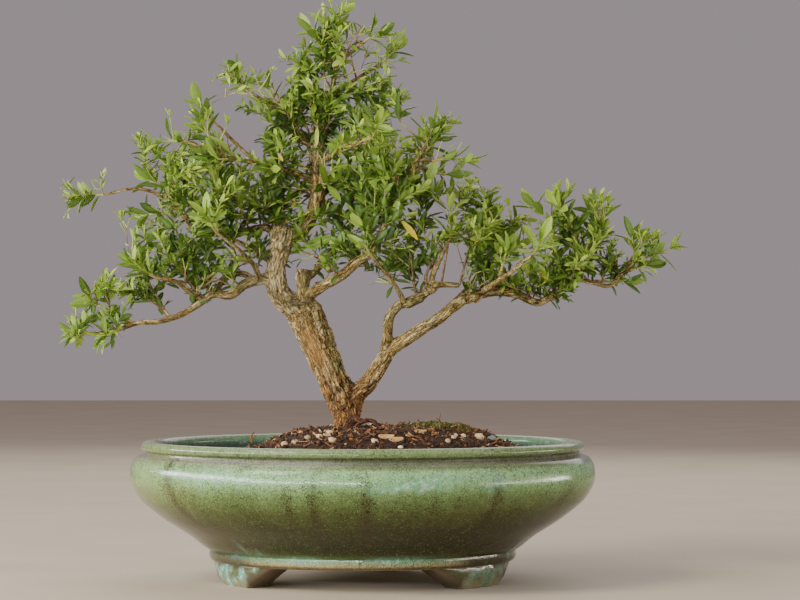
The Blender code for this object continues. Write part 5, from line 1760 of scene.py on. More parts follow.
@dataclass
class TreePlan:
    """Joins the tips of the shoots to the nearest wood, by the rule that placed the solids."""

    seed: int = 7
    shoot_length: tuple = (27.0, 38.0)
    mass_spacing: float = 25.0
    twig_end_radius: float = 0.95
    twig_stub: float = 4.5
    twig_spot_spacing: float = 3.0
    twig_free_spots: int = 2
    twig_down_cost: float = 1.2
    twig_bow: float = 0.1
    twig_bow_rise: float = 1.3
    twig_thin_share: float = 0.75
    twig_taper: float = 0.012
    straight_twig: float = 10.0
    lowest_twig: float = 140.0
    limb_step: float = 5.0

    def mass_tips(self, rng: random.Random) -> list[Vector]:
        """Tips spread inside the foliage masses, none near another."""
        tips = []
        for middle, half, count in FOLIAGE_MASSES:
            wanted = len(tips) + count
            while len(tips) < wanted:
                way = stray(rng)
                tip = Vector(m + h * w for m, h, w in zip(middle, half, way))
                crowded = any((tip - other).length < self.mass_spacing for other in tips)
                if way.length <= 1 and not crowded:
                    tips.append(tip)
        return tips

    def limb_stations(self, limb: Limb) -> Stations:
        """The stations that the solids use for a limb."""
        mean_radius = sum(knot[3] for knot in limb.route) / len(limb.route)
        return smooth_route(limb.route, self.limb_step * (1 + mean_radius))

    def cost(self, start: Vector, tip: Vector) -> float:
        """How far a twig has to reach, dearer where it would grow down."""
        way = tip - start
        return abs(way.length - self.shoot_length[0]) + self.twig_down_cost * max(0.0, -way.z)

    def spots(self, route: Sequence) -> Stations:
        """Places along a route where a twig may start."""
        return smooth_route(route, self.twig_spot_spacing)[1 : -self.twig_free_spots]

    def twig_route(self, start: Vector, radius: float, tip: Vector, rng: random.Random) -> tuple:
        """The route of a woody twig from a spot on the wood to the seat of a shoot.

        Args:
            start: the spot.
            radius: the wood's radius there.
            tip: the shoot's tip.
            rng: the plan's generator.

        Returns:
            Three knots (x, y, z, radius).
        """
        way = tip - start
        wood_length = max(self.twig_stub + radius, way.length - rng.uniform(*self.shoot_length))
        sag = Vector((rng.uniform(-1, 1), rng.uniform(-1, 1), self.twig_bow_rise))
        bow = self.twig_bow * wood_length * sag
        seat = start + way * (wood_length / way.length) + 0.5 * bow
        middle = start.lerp(seat, 0.5) + bow
        end = self.twig_end_radius
        thick = max(end, min(self.twig_thin_share * radius, end + self.twig_taper * wood_length))
        return ((*start, thick), (*middle, 0.5 * (thick + end)), (*seat, end))

    def twig_stations(self, twig: tuple) -> Stations:
        """The stations that the solids use for a twig."""
        start, seat = twig[0], twig[-1]
        length = (Vector(seat[:3]) - Vector(start[:3])).length
        return smooth_route(twig if length > self.straight_twig else (start, seat), length)

    def shoots(self) -> list[PlannedShoot]:
        """All the shoots, nearest tip first, so that later twigs fork off earlier ones."""
        rng = random.Random(self.seed)
        ends = [limb for limb in LIMBS if limb.shoot_tip is not None]
        shoots = [
            PlannedShoot(number + 1, self.limb_stations(limb)[-2:], Vector(limb.shoot_tip))
            for number, limb in enumerate(ends)
        ]
        waiting = [Vector(tip) for tip in OUTLINE_TIPS] + self.mass_tips(rng)
        spots = [spot for limb in LIMBS if limb.bears_twigs for spot in self.spots(limb.route)]
        spots = [spot for spot in spots if spot[0].z > self.lowest_twig]
        nearest = [min(spots, key=lambda spot: self.cost(spot[0], tip)) for tip in waiting]
        while waiting:
            costs = [self.cost(spot[0], tip) for spot, tip in zip(nearest, waiting)]
            chosen = costs.index(min(costs))
            tip = waiting.pop(chosen)
            start, radius = nearest.pop(chosen)
            twig = self.twig_route(start, radius, tip, rng)
            shoots.append(PlannedShoot(len(shoots) + 1, self.twig_stations(twig), tip, twig))
            for number, other in enumerate(waiting):
                for spot in self.spots(twig):
                    if self.cost(spot[0], other) < self.cost(nearest[number][0], other):
                        nearest[number] = spot
        return shoots


# Wood


@dataclass(frozen=True)
class LimbSpot:
    """A place on the middle line of the wood, with its own axes."""

    place: Vector
    radius: float
    tangent: Vector
    across: Vector
    other: Vector
    reach: float
    limb: str


@dataclass
class Wood:
    """The trunk, its branches and its roots, in one skin of cracked bark."""

    voxel: float = 0.68
    smooth_rounds: int = 3
    smooth_factor: float = 0.5
    tube_spacing: float = 2.5
    tube_sides: int = 24
    spot_spacing: float = 1.2
    neighbours: int = 12
    collar_centre: tuple = (-8.8, 0.0)
    collar_radius: float = 7.5
    collar_heights: tuple = (53.0, 70.0, 90.0)
    plate_width: float = 3.0
    plate_length: float = 9.0
    plate_growth: tuple = (0.55, 0.45)
    plate_bend: float = 0.35
    bend_scale: float = 0.16
    # How the relief swells with a limb's radius
    twig_radius: float = 1.2
    thick_span: float = 5.5
    least_thick: float = 0.12
    # Plates, seams, flutes and fine grain: where they lie, and how high or deep they are
    border_gap: tuple = (0.02, 0.2)
    fissure_width: float = 0.13
    seam_scale: tuple = (0.42, 0.42, 0.045)
    flute_scale: tuple = (0.2, 0.2, 0.02)
    fine_scale: tuple = (1.3, 1.3, 0.3)
    plate_height: float = 0.75
    border_depth: float = 0.6
    fissure_depth: float = 0.65
    flute_height: float = 0.8
    fine_height: float = 0.3
    bark_relief: float = 1.15
    slow_share: float = 0.1
    slow_scale: float = 0.13
    # How dark the cracks are: at borders and seams, by the limb's thickness, and in the dark spots
    border_dark: float = 0.6
    fissure_dark: float = 0.8
    dark_growth: tuple = (0.35, 0.65)
    spot_dark: float = 0.75
    # The bare patch and the rusty foot
    bare_centre: tuple = (-27.5, 131.0)
    bare_half: tuple = (4.8, 12.0)
    bare_lean: float = 0.42
    bare_span: tuple = (0, 6)
    bare_calm: float = 0.75
    rust_foot: tuple = (94.0, 126.0)
    rust_fork: tuple = (98.0, 140.0)
    rust_ragged: float = 9.0
    rust_scale: float = 0.12
    rust_span: tuple = (-8, 4)
    rust_shares: tuple = (0.6, 0.9, 0.45)
    # Algae, on the shaded right of the wood
    algae_span: tuple = (-0.2, 0.5)
    algae_front: float = 0.3
    algae_shares: tuple = (0.6, 0.12)
    knots: tuple = (
        ((-25.8, -3.6, 164.6, 2.0), (-25.2, -5.0, 167.2, 1.4)),
        ((-7.4, -1.5, 104.0, 3.6), (-6.6, -3.0, 108.6, 2.2)),
        ((60.5, -4.6, 158.6, 4.3), (63.5, -5.0, 161.2, 4.0)),
        ((24.0, -8.6, 155.2, 3.1), (33.0, -10.0, 159.2, 3.2)),
        ((14.2, -6.2, 142.0, 2.8), (12.4, -7.6, 145.4, 1.8)),
        ((37.8, -10.8, 163.8, 2.9), (39.4, -11.6, 161.2, 2.2)),
    )
    worn_share: float = 0.65
    # Tones on the bark: place, radius and strength. The pale spots are a painted light on the upper trunk.
    dark_spots: tuple = (
        (-33.5, -1.0, 176.0, 4.6, 1.0), (-7.6, -2.0, 109.0, 4.8, 1.0), (-25.2, -5.0, 167.4, 2.6, 1.0),
        (-31.0, -4.0, 157.0, 3.2, 1.0), (-39.5, -2.0, 158.0, 3.0, 1.0), (58.0, -12.0, 165.4, 3.0, 1.0),
    )
    painted_light_spots: tuple = (
        (-47.0, -3.0, 174.0, 12.0, 0.75), (-46.0, -3.0, 188.0, 9.0, 0.45),
    )
    olive_spots: tuple = (
        (13.0, -6.0, 143.0, 7.0, 0.45), (18.0, -7.0, 153.0, 8.0, 0.7), (28.0, -9.0, 158.0, 9.0, 0.65),
        (38.0, -11.0, 163.0, 7.0, 0.4), (-32.0, -3.0, 170.0, 7.0, 0.35),
    )

    def limbs(self) -> list[Limb]:
        """Every limb of the solids, and the stump that stands in the soil."""
        x, y = self.collar_centre
        stump = tuple((x, y, z, self.collar_radius) for z in self.collar_heights)
        knots = [Limb("knot", knot, False) for knot in self.knots]
        return [*LIMBS, ROOT_ARCH, ROOT_FLARE, Limb("stump", stump, False), *knots]

    def skin(self) -> Mesh:
        """The limbs joined into one closed skin."""
        shape = Shape()
        for limb in self.limbs():
            shape.add(tube(smooth_route(limb.route, self.tube_spacing), self.tube_sides))
        body = add_object("wood_skin", shape.mesh("wood_skin"))
        remesh = body.modifiers.new("join", "REMESH")
        remesh.mode = "VOXEL"
        remesh.voxel_size = self.voxel * METRES_PER_MM
        soften = body.modifiers.new("soften", "SMOOTH")
        soften.iterations = self.smooth_rounds
        soften.factor = self.smooth_factor
        mesh = evaluated_mesh(body)
        bpy.data.objects.remove(body)
        return mesh

    def spots(self) -> list[LimbSpot]:
        """Spots along the middle lines of all the wood."""
        spots = []
        for limb in self.limbs():
            rows = framed(smooth_route(limb.route, self.spot_spacing))
            reach = 0.0
            before = rows[0][0]
            for place, radius, tangent, across, other in rows:
                reach += (place - before).length
                before = place
                spots.append(LimbSpot(place, radius, tangent, across, other, reach, limb.name))
        return spots

    def nearest(self, point: Vector, tree: KDTree, spots: list[LimbSpot]) -> LimbSpot:
        """The spot whose wood a point of the skin belongs to."""
        found = tree.find_n(point, self.neighbours)
        return min((spots[index] for _, index, _ in found), key=lambda s: (point - s.place).length - s.radius)

    def bark_at(self, point: Vector, limb: Vector, radius: float) -> tuple[float, float, float]:
        """The bark's form at a point.

        Args:
            point: the place on the skin.
            limb: the point across and along its limb.
            radius: the limb's radius.

        Returns:
            (how far the skin stands out, how deep in a crack it is, its plate's number 0 to 1).
        """

        def along(scale: tuple) -> Vector:
            """The limb's coordinates, scaled along each axis."""
            return Vector(part * value for part, value in zip(scale, limb))

        thick = min(1.0, max(self.least_thick, (radius - self.twig_radius) / self.thick_span))
        wide = self.plate_width * (self.plate_growth[0] + self.plate_growth[1] * thick)
        spot = Vector((limb.x / wide, limb.y / wide, limb.z / self.plate_length))
        gaps, seeds = noise.voronoi(spot + self.plate_bend * noise.noise_vector(self.bend_scale * point))
        border = 1 - smoothstep(*self.border_gap, gaps[1] - gaps[0])
        plate = 0.5 + 0.5 * noise.cell(7.3 * seeds[0])
        fissure = 1 - smoothstep(0.0, self.fissure_width, abs(noise.noise(along(self.seam_scale))))
        flutes = noise.noise(along(self.flute_scale) + Vector((9.0, 0, 0)))
        fine = noise.noise(along(self.fine_scale))
        calm = 1 - self.bare_calm * self.bare_at(point)
        rough = self.plate_height * (plate - 0.5) - self.border_depth * border - self.fissure_depth * fissure
        rough = rough + self.flute_height * flutes + self.fine_height * fine
        crack = calm * (self.border_dark * border + self.fissure_dark * fissure)
        crack = crack * (self.dark_growth[0] + self.dark_growth[1] * thick)
        crack = crack + self.spot_dark * self.tone_at(point, self.dark_spots)
        lump = self.slow_share * radius * noise.noise(self.slow_scale * point)
        return self.bark_relief * thick * calm * rough + lump, min(1.0, crack), plate

    @staticmethod
    def tone_at(point: Vector, tones: Sequence[tuple]) -> float:
        """The strongest of some soft round tones (x, y, z, radius, strength) at a point."""
        return max(
            strength * math.exp(-(((point - Vector(place)).length / radius) ** 2))
            for *place, radius, strength in tones
        )

    def bare_at(self, point: Vector) -> float:
        """How bare of flakes the wood is: a worn patch on the front of the trunk."""
        up = point.z - self.bare_centre[1]
        across = (point.x - self.bare_centre[0] + self.bare_lean * up) / self.bare_half[0]
        front = 1 - smoothstep(*self.bare_span, point.y)
        return math.exp(-(across**2 + (up / self.bare_half[1]) ** 2)) * front

    def rust_at(self, point: Vector) -> float:
        """How rusty the bark is: at the trunk's foot, on the fork's right and on the bare patch."""
        fork_share, share, bare_share = self.rust_shares
        height = point.z + self.rust_ragged * noise.noise(self.rust_scale * point)
        foot = 1 - smoothstep(*self.rust_foot, height)
        fork = fork_share * (1 - smoothstep(*self.rust_fork, height)) * smoothstep(*self.rust_span, point.x)
        return min(1.0, max(foot, fork) * share + bare_share * self.bare_at(point))

    def algae_at(self, normal: Vector) -> float:
        """How much algae grows on wood that faces a way."""
        share, least = self.algae_shares
        return share * smoothstep(*self.algae_span, normal.x - self.algae_front * normal.y) + least

    def build(self) -> None:
        """Builds the wood and dresses it."""
        mesh = self.skin()
        spots = self.spots()
        tree = KDTree(len(spots))
        for number, spot in enumerate(spots):
            tree.insert(spot.place, number)
        tree.balance()
        places, rows = [], []
        for vert in mesh.vertices:
            point = Place.from_frame(vert.co)
            spot = self.nearest(point, tree, spots)
            way = point - spot.place
            limb = Vector((way.dot(spot.across), way.dot(spot.other), spot.reach + way.dot(spot.tangent)))
            out, crack, plate = self.bark_at(point, limb, spot.radius)
            places.append(vert.co + METRES_PER_MM * out * vert.normal)
            is_root = spot.limb.startswith("root")
            rust = 0.0 if is_root else self.rust_at(point)
            rows.append({
                "limb": METRES_PER_MM * limb,
                "crack": crack,
                "plate": plate,
                "rust": rust,
                "algae": self.algae_at(vert.normal) * (1 - rust),
                "root": float(is_root),
                "worn": self.worn_share * self.bare_at(point),
                # "pale" is a painted light on the upper trunk
                "pale": self.tone_at(point, self.painted_light_spots),
                "olive": self.tone_at(point, self.olive_spots),
            })
        for vert, place in zip(mesh.vertices, places):
            vert.co = place
        set_values(mesh, {name: [row[name] for row in rows] for name in rows[0]})
        mesh.shade_smooth()
        finish_piece(add_object("barked_wood", mesh, FlakyBark().material()), "bark", "trunk_and_branches")


# Leaves and their stems


@dataclass
class Leaf:
    """One leaf: its root, its frame, its length and its looks."""

    root: Vector
    along: Vector
    up: Vector
    length: float
    age: float
    width: float = 1.0

    def middle(self) -> Vector:
        """The middle of the blade."""
        return self.root + 0.5 * self.length * self.along

    def tip(self) -> Vector:
        """The tip of the blade."""
        return self.root + self.length * self.along


@dataclass(frozen=True)
class AccentLeaf:
    """A leaf that stands out in the photo: its root and tip as (x, z) from the front, age and width."""

    root: tuple[float, float]
    tip: tuple[float, float]
    age: float
    width: float = 1.0


@dataclass(frozen=True)
class BareTwig:
    """A bare twig that the photo shows: three places as (x, z), its lean in y and its radius."""

    start: tuple[float, float]
    middle: tuple[float, float]
    tip: tuple[float, float]
    lean: float
    radius: float


@dataclass
class Stem:
    """A stem: its stations and how woody it is at its start and at its end."""

    stations: Stations
    tones: tuple[float, float]


@dataclass(frozen=True)
class LeafDress:
    """What a stem's leaves are like: their lengths, mean age, where along it they begin, how far apart."""

    lengths: tuple[float, float]
    age: float
    start: float
    spacing: float = 3.7


class BladeForm(Enum):
    """The shapes of blade: width share, droop, fold, curl of the tip and twist."""

    FLAT = (0.32, 0.10, 0.16, 0.00, 0.05)
    FOLDED = (0.30, 0.16, 0.42, 0.03, -0.04)
    ARCHED = (0.34, 0.30, 0.22, 0.05, 0.10)
    BROAD = (0.39, 0.12, 0.20, -0.04, -0.12)
    NARROW = (0.26, 0.05, 0.30, -0.05, 0.15)
    RAISED = (0.33, -0.10, 0.25, -0.08, 0.0)


@dataclass
class LeafMould:
    """Makes the blade meshes that all the leaves share: one metre long, along X, facing Z."""

    # Where the rings of points stand along a blade, and its width there
    sections: tuple = ((0.09, 0.20), (0.27, 0.70), (0.48, 1.0), (0.70, 0.90), (0.88, 0.50))
    small_sections: tuple = ((0.12, 0.26), (0.42, 0.96), (0.76, 0.84))
    sides: tuple = (-1.0, -0.5, 0.0, 0.5, 1.0)
    small_sides: tuple = (-1.0, 0.0, 1.0)
    keel: float = 0.024
    cup: float = 0.10
    sharp_degrees: float = 80.0

    def blade(self, form: BladeForm, is_small: bool) -> Mesh:
        """One closed blade: a grooved top over a keel.

        Args:
            form: its shape.
            is_small: whether it has the few faces of a small leaf.

        Returns:
            Its mesh, with "blade" for the place across, along and under.
        """
        width, droop, fold, curl, twist = form.value
        sections = self.small_sections if is_small else self.sections
        sides = self.small_sides if is_small else self.sides

        def spine(share: float) -> Vector:
            """The place on the midrib at a share of the length."""
            return Vector((share, 0, -droop * share**2 + curl * share**4))

        points = [spine(0.0)]
        blades = [(0.0, 0.0, 0.5)]
        for share, part in sections:
            half = 0.5 * width * part
            turn = Matrix.Rotation(twist * share * 4, 3, "X")
            for side in sides:
                rise = fold * abs(side) * half + self.cup * half * math.sin(math.pi * abs(side))
                points.append(spine(share) + turn @ Vector((0, side * half, rise)))
                blades.append((side, share, 0.0))
            points.append(spine(share) + turn @ Vector((0, 0, -self.keel * (0.5 + 0.5 * part))))
            blades.append((0.0, share, 1.0))
        points.append(spine(1.0))
        blades.append((0.0, 1.0, 0.5))
        count = len(sides) + 1
        last = len(points) - 1
        faces = rings(len(sections), count, 1)
        turns = [(number, (number + 1) % count) for number in range(count)]
        faces += [(0, 1 + after, 1 + number) for number, after in turns]
        faces += [(last, last - count + number, last - count + after) for number, after in turns]
        mesh = bpy.data.meshes.new("blade")
        mesh.from_pydata(points, [], faces)
        set_values(mesh, {"blade": blades})
        outward(mesh)
        mesh.shade_smooth()
        mesh.set_sharp_from_angle(angle=math.radians(self.sharp_degrees))
        return mesh

    def blades(self) -> list[Mesh]:
        """All the blades, the large ones first."""
        return [self.blade(form, is_small) for is_small in (False, True) for form in BladeForm]


def solids_box() -> tuple[Vector, Vector]:
    """The lowest and highest corner of all the solids."""
    corners = np.array([[tuple(corner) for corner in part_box(name)] for name in frame["nodes"]])
    return Vector(corners[:, 0].min(axis=0)), Vector(corners[:, 1].max(axis=0))


@dataclass
class Foliage:
    """Every leaf and stem: those of the solids in finer form, and the small ones between."""

    plan: TreePlan
    seed: int = 23
    spread_share: float = 0.3276
    solid_droop: float = 0.16
    end_drop: float = 0.0771
    keel_depth: tuple = (0.5, 1.0)
    leaf_span: tuple = (6, 18)
    pair_match: float = 0.05
    weld: float = 1e-6
    flat_angle: float = 0.001
    shrink: float = 0.96
    crowding: float = 1.5
    small_leaf: float = 7.5
    box_margin: float = 1.2
    leader_clear: tuple = ((-35.0, -60.0, 208.0), (-17.0, -4.0, 243.0))
    # Gaps of sky in the photo: middle and half sizes, from the front
    sky_gaps: tuple = (
        (51, 238, 12, 14), (98, 212, 9, 8), (-122, 216, 6.5, 15), (-106, 252, 9, 9), (-52, 277, 10, 7),
        (147, 194, 4, 9), (-133, 190, 6, 8), (171, 181, 9, 8), (23, 254, 7, 6), (-4, 287, 6, 7),
        (-67, 252, 6, 9), (51, 181, 7, 8), (-154, 169, 6, 6), (93, 191, 5, 6), (46, 210, 4, 6),
        (-21, 281, 4, 6), (-159, 158, 4, 4), (-26, 315, 4, 6), (-63, 174, 4, 3), (155, 172, 4, 4),
        (18, 293, 4, 3), (-28, 183, 4, 4), (-68, 188, 4, 5), (-79, 273, 9, 6), (7, 170, 6, 3),
        (70, 223, 7, 3), (8, 301, 7, 4), (-7, 303, 4, 4), (-80, 256, 4, 5), (-81, 288, 4, 4),
        (-120, 154, 4, 3), (-83, 170, 4, 4), (82, 208, 4, 3), (-133, 199, 5, 5), (-26, 154, 3, 3),
        (-32, 182, 6, 4), (43, 210, 6, 4), (-124, 227, 6, 6), (156, 171, 4, 4), (168, 177, 6, 3),
        (4, 313, 3, 3), (-3, 307, 3, 4), (50, 264, 4, 3), (-74, 249, 5, 6),
    )
    # Painted shade by cover: leaves under many others are laid older and darker, those on top younger and
    # lighter
    cover_cell: float = 12.0
    cover_span: tuple = (1.0, 42.0)
    cover_fade: float = 0.75
    cover_shift: tuple = (-0.17, 0.22)
    least_age: float = 0.2
    bare_twigs: tuple = (
        BareTwig((29.1, 160.7), (27.6, 176), (26.4, 190), -4, 0.75),
        BareTwig((36.6, 161.0), (35.4, 171), (40.2, 181), -3, 1.2),
        BareTwig((43.0, 166.0), (47.0, 184), (50.6, 205), -9, 0.7),
        BareTwig((56.0, 172.0), (58.6, 184), (59.4, 196), -7, 0.7),
        BareTwig((-92.0, 160.0), (-97.0, 168), (-104, 177), -6, 0.7),
        BareTwig((-72.0, 168.0), (-70.0, 178), (-74, 190), -6, 0.8),
    )
    fan_root: tuple = (-26.0, 2.0, 240.5)
    fan_tips: tuple = (
        (-50, -4, 257), (-44, -8, 264), (-37, -3, 271), (-30, -8, 275), (-23, -5, 270), (-17, -9, 261),
        (-55, 6, 268),
    )
    side_shoots_per_node: tuple = (1, 2)
    side_shoot_length: tuple = (5.0, 15.0)
    # Where the small twigs fill the foliage: middle, half sizes and their number
    fill_masses: tuple = (
        ((-20, 0, 294), (19, 20, 26), 38), ((8, 0, 290), (10, 18, 16), 4),
        ((4, -4, 275), (17, 16, 7), 10), ((-56, 0, 271), (24, 24, 17), 20),
        ((-26, 0, 270), (20, 24, 16), 20), ((-2, 0, 237), (38, 42, 32), 66),
        ((6, -30, 238), (24, 14, 15), 14), ((16, -30, 214), (20, 14, 22), 18),
        ((-41, 0, 250), (9, 16, 10), 8), ((-42, 2, 222), (8, 16, 11), 9), ((-8, 4, 218), (8, 16, 9), 8),
        ((-62, 0, 208), (12, 20, 9), 9), ((-122, 0, 239), (7, 12, 5), 4),
        ((-87, 0, 240), (11, 14, 6), 5), ((-82, 0, 222), (42, 40, 17), 70),
        ((-98, 0, 187), (38, 34, 23), 46), ((-88, -4, 172), (14, 16, 9), 12),
        ((-138, -8, 165), (20, 18, 7), 12), ((22, -6, 186), (27, 32, 22), 26),
        ((27, -6, 182), (8, 14, 9), 5), ((-7, -8, 187), (8, 12, 8), 6), ((-16, -14, 181), (9, 10, 9), 5),
        ((34, -10, 225), (8, 12, 10), 5), ((66, 0, 193), (20, 34, 24), 36),
        ((71, 0, 209), (7, 16, 7), 6), ((116, 0, 187), (23, 34, 17), 36),
        ((90, -4, 170), (18, 14, 9), 15), ((150, 0, 184), (22, 18, 12), 7),
        ((52, 0, 214), (11, 22, 8), 5), ((-27, 4, 200), (20, 26, 16), 10),
        ((-46, -2, 208), (9, 16, 8), 8), ((-125, -4, 160), (9, 12, 6), 8),
        ((-156, -6, 147), (9, 8, 5), 6), ((-140, -6, 149), (6, 8, 5), 4),
        ((16, -2, 269), (11, 12, 5), 7), ((-52, -2, 246), (7, 12, 7), 6),
        ((61, -2, 221), (10, 14, 5), 7), ((135, -2, 212), (6, 10, 5), 4),
        ((-57, -4, 190), (6, 12, 6), 5), ((38, -6, 213), (6, 12, 8), 6), ((137, -2, 182), (5, 12, 7), 5),
        ((-19, -4, 205), (6, 12, 7), 5), ((-168, 0, 214), (4, 6, 7), 3), ((-78, -2, 246), (7, 10, 6), 5),
        ((91, -4, 203), (8, 10, 4), 4), ((-105, -4, 240), (8, 10, 3), 4),
        ((-89, -6, 188), (7, 10, 4), 4), ((113, -4, 159), (5, 8, 6), 3), ((112, -2, 216), (5, 10, 5), 4),
        ((-78, 0, 282), (5, 8, 5), 3), ((-132, -2, 204), (6, 8, 4), 3), ((-123, 0, 247), (5, 6, 4), 3),
        ((-93, 0, 249), (4, 6, 4), 2), ((-36, -2, 237), (6, 10, 6), 5), ((10, -2, 280), (8, 10, 4), 5),
        ((-120, -2, 194), (5, 8, 5), 3), ((92, -4, 172), (7, 10, 4), 4), ((-38, -2, 204), (5, 10, 5), 4),
        ((49, 0, 258), (4, 8, 4), 3), ((-40, 0, 290), (4, 8, 5), 3), ((31, -4, 242), (6, 8, 4), 4),
        ((-109, -4, 172), (5, 8, 4), 3), ((-38, -4, 185), (4, 8, 4), 3), ((3, -4, 310), (4, 6, 4), 3),
    )
    fill_lengths: tuple = (8.0, 21.0)
    fill_reach: tuple = (6.0, 44.0)
    fill_side_length: tuple = (4.0, 11.0)
    fill_climb: float = 4.0
    fill_down_cost: float = 1.6
    fill_bend: float = 0.13
    fill_sag: tuple = (-0.6, 0.9)
    # A small twig's radius: its most, its share of the wood's, and its least with its growth a millimetre
    fill_thick: tuple = (0.7, 0.6, 0.42, 0.01)
    fill_tip: float = 0.32
    fill_spacing: float = 3.0
    fill_woody: tuple = (1.1, 0.4, 22.0, 0.1)
    lowest_seat: float = 150.0
    thickest_seat: float = 3.2
    forked_from: float = 12.0
    leafy_length: float = 26.0
    # The stem of a spray, and its leaves from the solids
    knot_gap: float = 1.5
    first_knot: float = 2.5
    stem_spacing: float = 2.0
    spray_radii: tuple = (0.85, 0.4)
    spray_tones: tuple = (0.55, 0.0)
    spray_reach: float = 30.0
    spray_age: float = 0.72
    spray_age_fall: float = 0.38
    spray_age_stray: tuple = (-0.16, 0.16)
    spray_ages: tuple = (0.15, 0.95)
    spray_widths: tuple = (0.95, 1.15)
    # The other leaves: how they stand, and how they change toward the stem's tip
    leaf_share: float = 0.9
    leaf_lift: float = 0.08
    leaf_sway: tuple = (-0.3, 0.3)
    sky_pull: float = 0.7
    leaf_widths: tuple = (0.85, 1.15)
    base_size: float = 1.05
    size_fall: float = 0.35
    lean_fall: float = 22.0
    tone_fall: float = 0.2
    tone_stray: tuple = (-0.18, 0.18)
    tuft_younger: tuple = (0.2, 0.35)
    roll_stray: tuple = (-0.2, 0.2)
    spacing_stray: tuple = (0.8, 1.25)
    leaf_leans: tuple = (45, 78)
    # The tuft at a stem's tip: the outer and the inner pair's share of the length, and their leans
    tuft: tuple = ((0.75, (18, 36)), (0.5, (6, 18)))
    side_step: float = 2.6
    side_radii: tuple = (0.5, 0.2)
    side_leans: tuple = (35, 68)
    side_lift: float = 0.25
    side_sway: tuple = (-0.16, 0.16)
    side_climb: float = 0.09
    side_tones: tuple = (0.2, 0.0)
    # Woody twigs: the bare ones, the fan's and those of the solids
    twig_spacing: float = 2.5
    twig_tones: tuple = (1.0, 0.75)
    plan_twig_tones: tuple = (1.0, 0.8)
    bend_share: float = 0.8
    bare_tip: float = 0.35
    fan_bend: tuple = (0.45, 0.12, 2.5)
    fan_radii: tuple = (0.85, 0.6, 0.4)
    twig_sides: int = 8
    stem_sides: int = 6
    on_spray: LeafDress = LeafDress((6.5, 11.5), 0.55, 0.2, 4.9)
    on_side_shoot: LeafDress = LeafDress((5.5, 10.5), 0.5, 0.35)
    on_fill: LeafDress = LeafDress((6.5, 12.5), 0.6, 0.15)
    on_fill_side: LeafDress = LeafDress((5.5, 10.0), 0.45, 0.4)
    on_bare_twig: LeafDress = LeafDress((8.0, 12.5), 0.5, 0.74)
    on_fan: LeafDress = LeafDress((8.0, 12.5), 0.5, 0.72)
    accents: tuple = (
        AccentLeaf((38.4, 239), (36.8, 222), 0.27), AccentLeaf((22.0, 214), (16.8, 199), 0.22),
        AccentLeaf((-18.0, 191), (-34.5, 186), 0.60), AccentLeaf((21.6, 200), (31.6, 191), 0.04, 0.6),
        AccentLeaf((99.0, 174), (103.6, 168), 0.03), AccentLeaf((-44.6, 241), (-43.8, 234), 0.0),
        AccentLeaf((-39.8, 216), (-38.6, 209), 0.0), AccentLeaf((-26.4, 252), (-25.6, 243), 0.08, 0.6),
    )
    accent_reach: float = 5.0
    accent_depth: float = -1.5
    accent_up: tuple = (0.15, -1, 0.35)
    # The pieces of foliage: name and span from left to right
    parts: tuple = (
        ("leaves_far_left", -200, -80), ("leaves_left", -80, -20), ("leaves_middle", -20, 30),
        ("leaves_right", 30, 200),
    )
    leaves: list[Leaf] = field(default_factory=list)
    stems: list[Stem] = field(default_factory=list)
    twigs: list[Stem] = field(default_factory=list)
    cells: dict = field(default_factory=dict)
    box: tuple[Vector, Vector] = field(default_factory=solids_box)

    # Reading the solids

    def solid_leaves(self, node: str) -> list[Leaf]:
        """The leaves of a spray's solid, found by their tips.

        Args:
            node: the spray's name.

        Returns:
            A leaf for each tip.
        """
        bm = bmesh.new()
        bm.from_mesh(frame["nodes"][node].data)
        bmesh.ops.remove_doubles(bm, verts=bm.verts[:], dist=self.weld)
        bmesh.ops.dissolve_limit(bm, angle_limit=self.flat_angle, verts=bm.verts[:], edges=bm.edges[:])
        found = []
        for vert in bm.verts:
            if len(vert.link_edges) == 3:
                tip = Place.from_frame(vert.co)
                ends = [Place.from_frame(edge.other_vert(vert).co) for edge in vert.link_edges]
                leaf = self.leaf_at_tip(tip, ends)
                if leaf is not None:
                    found.append(leaf)
        bm.free()
        return found

    def leaf_at_tip(self, tip: Vector, ends: list[Vector]) -> Leaf | None:
        """The leaf whose tip has these three neighbours, or None where it isn't a leaf's tip."""
        gaps = [(end - tip).length for end in ends]
        pairs = ((0, 1, 2), (0, 2, 1), (1, 2, 0))
        first, second, keel = min(pairs, key=lambda p: abs(gaps[p[0]] - gaps[p[1]]))
        if abs(gaps[first] - gaps[second]) > self.pair_match:
            return None
        middle = 0.5 * (ends[first] + ends[second])
        depth = (middle - ends[keel]).length
        length = (ends[first] - ends[second]).length / self.spread_share
        is_deep = self.keel_depth[0] < depth < self.keel_depth[1]
        if not is_deep or not self.leaf_span[0] < length < self.leaf_span[1]:
            return None
        up = (middle - ends[keel]).normalized()
        along = ((tip - middle) / length + self.end_drop * up).normalized()
        root = tip - length * along + self.solid_droop * length * up
        return Leaf(root, along, up, length, 0.5)

    # Growing

    def in_box(self, leaf: Leaf) -> bool:
        """Whether a leaf's tip stays inside the solids' box."""
        low, high = self.box
        tip = Place.to_frame(leaf.tip())
        margin = self.box_margin * METRES_PER_MM
        return all(low[axis] + margin < tip[axis] < high[axis] - margin for axis in range(3))

    def in_gap(self, place: Vector) -> bool:
        """Whether a place is in a gap that the photo shows between the leaves, seen from the front."""
        return any(
            ((place.x - x) / wide) ** 2 + ((place.z - z) / high) ** 2 < 1
            for x, z, wide, high in self.sky_gaps
        )

    def cell(self, place: Vector) -> tuple[int, ...]:
        """The cell of the grid that a place is in."""
        return tuple(int(value // self.crowding) for value in place)

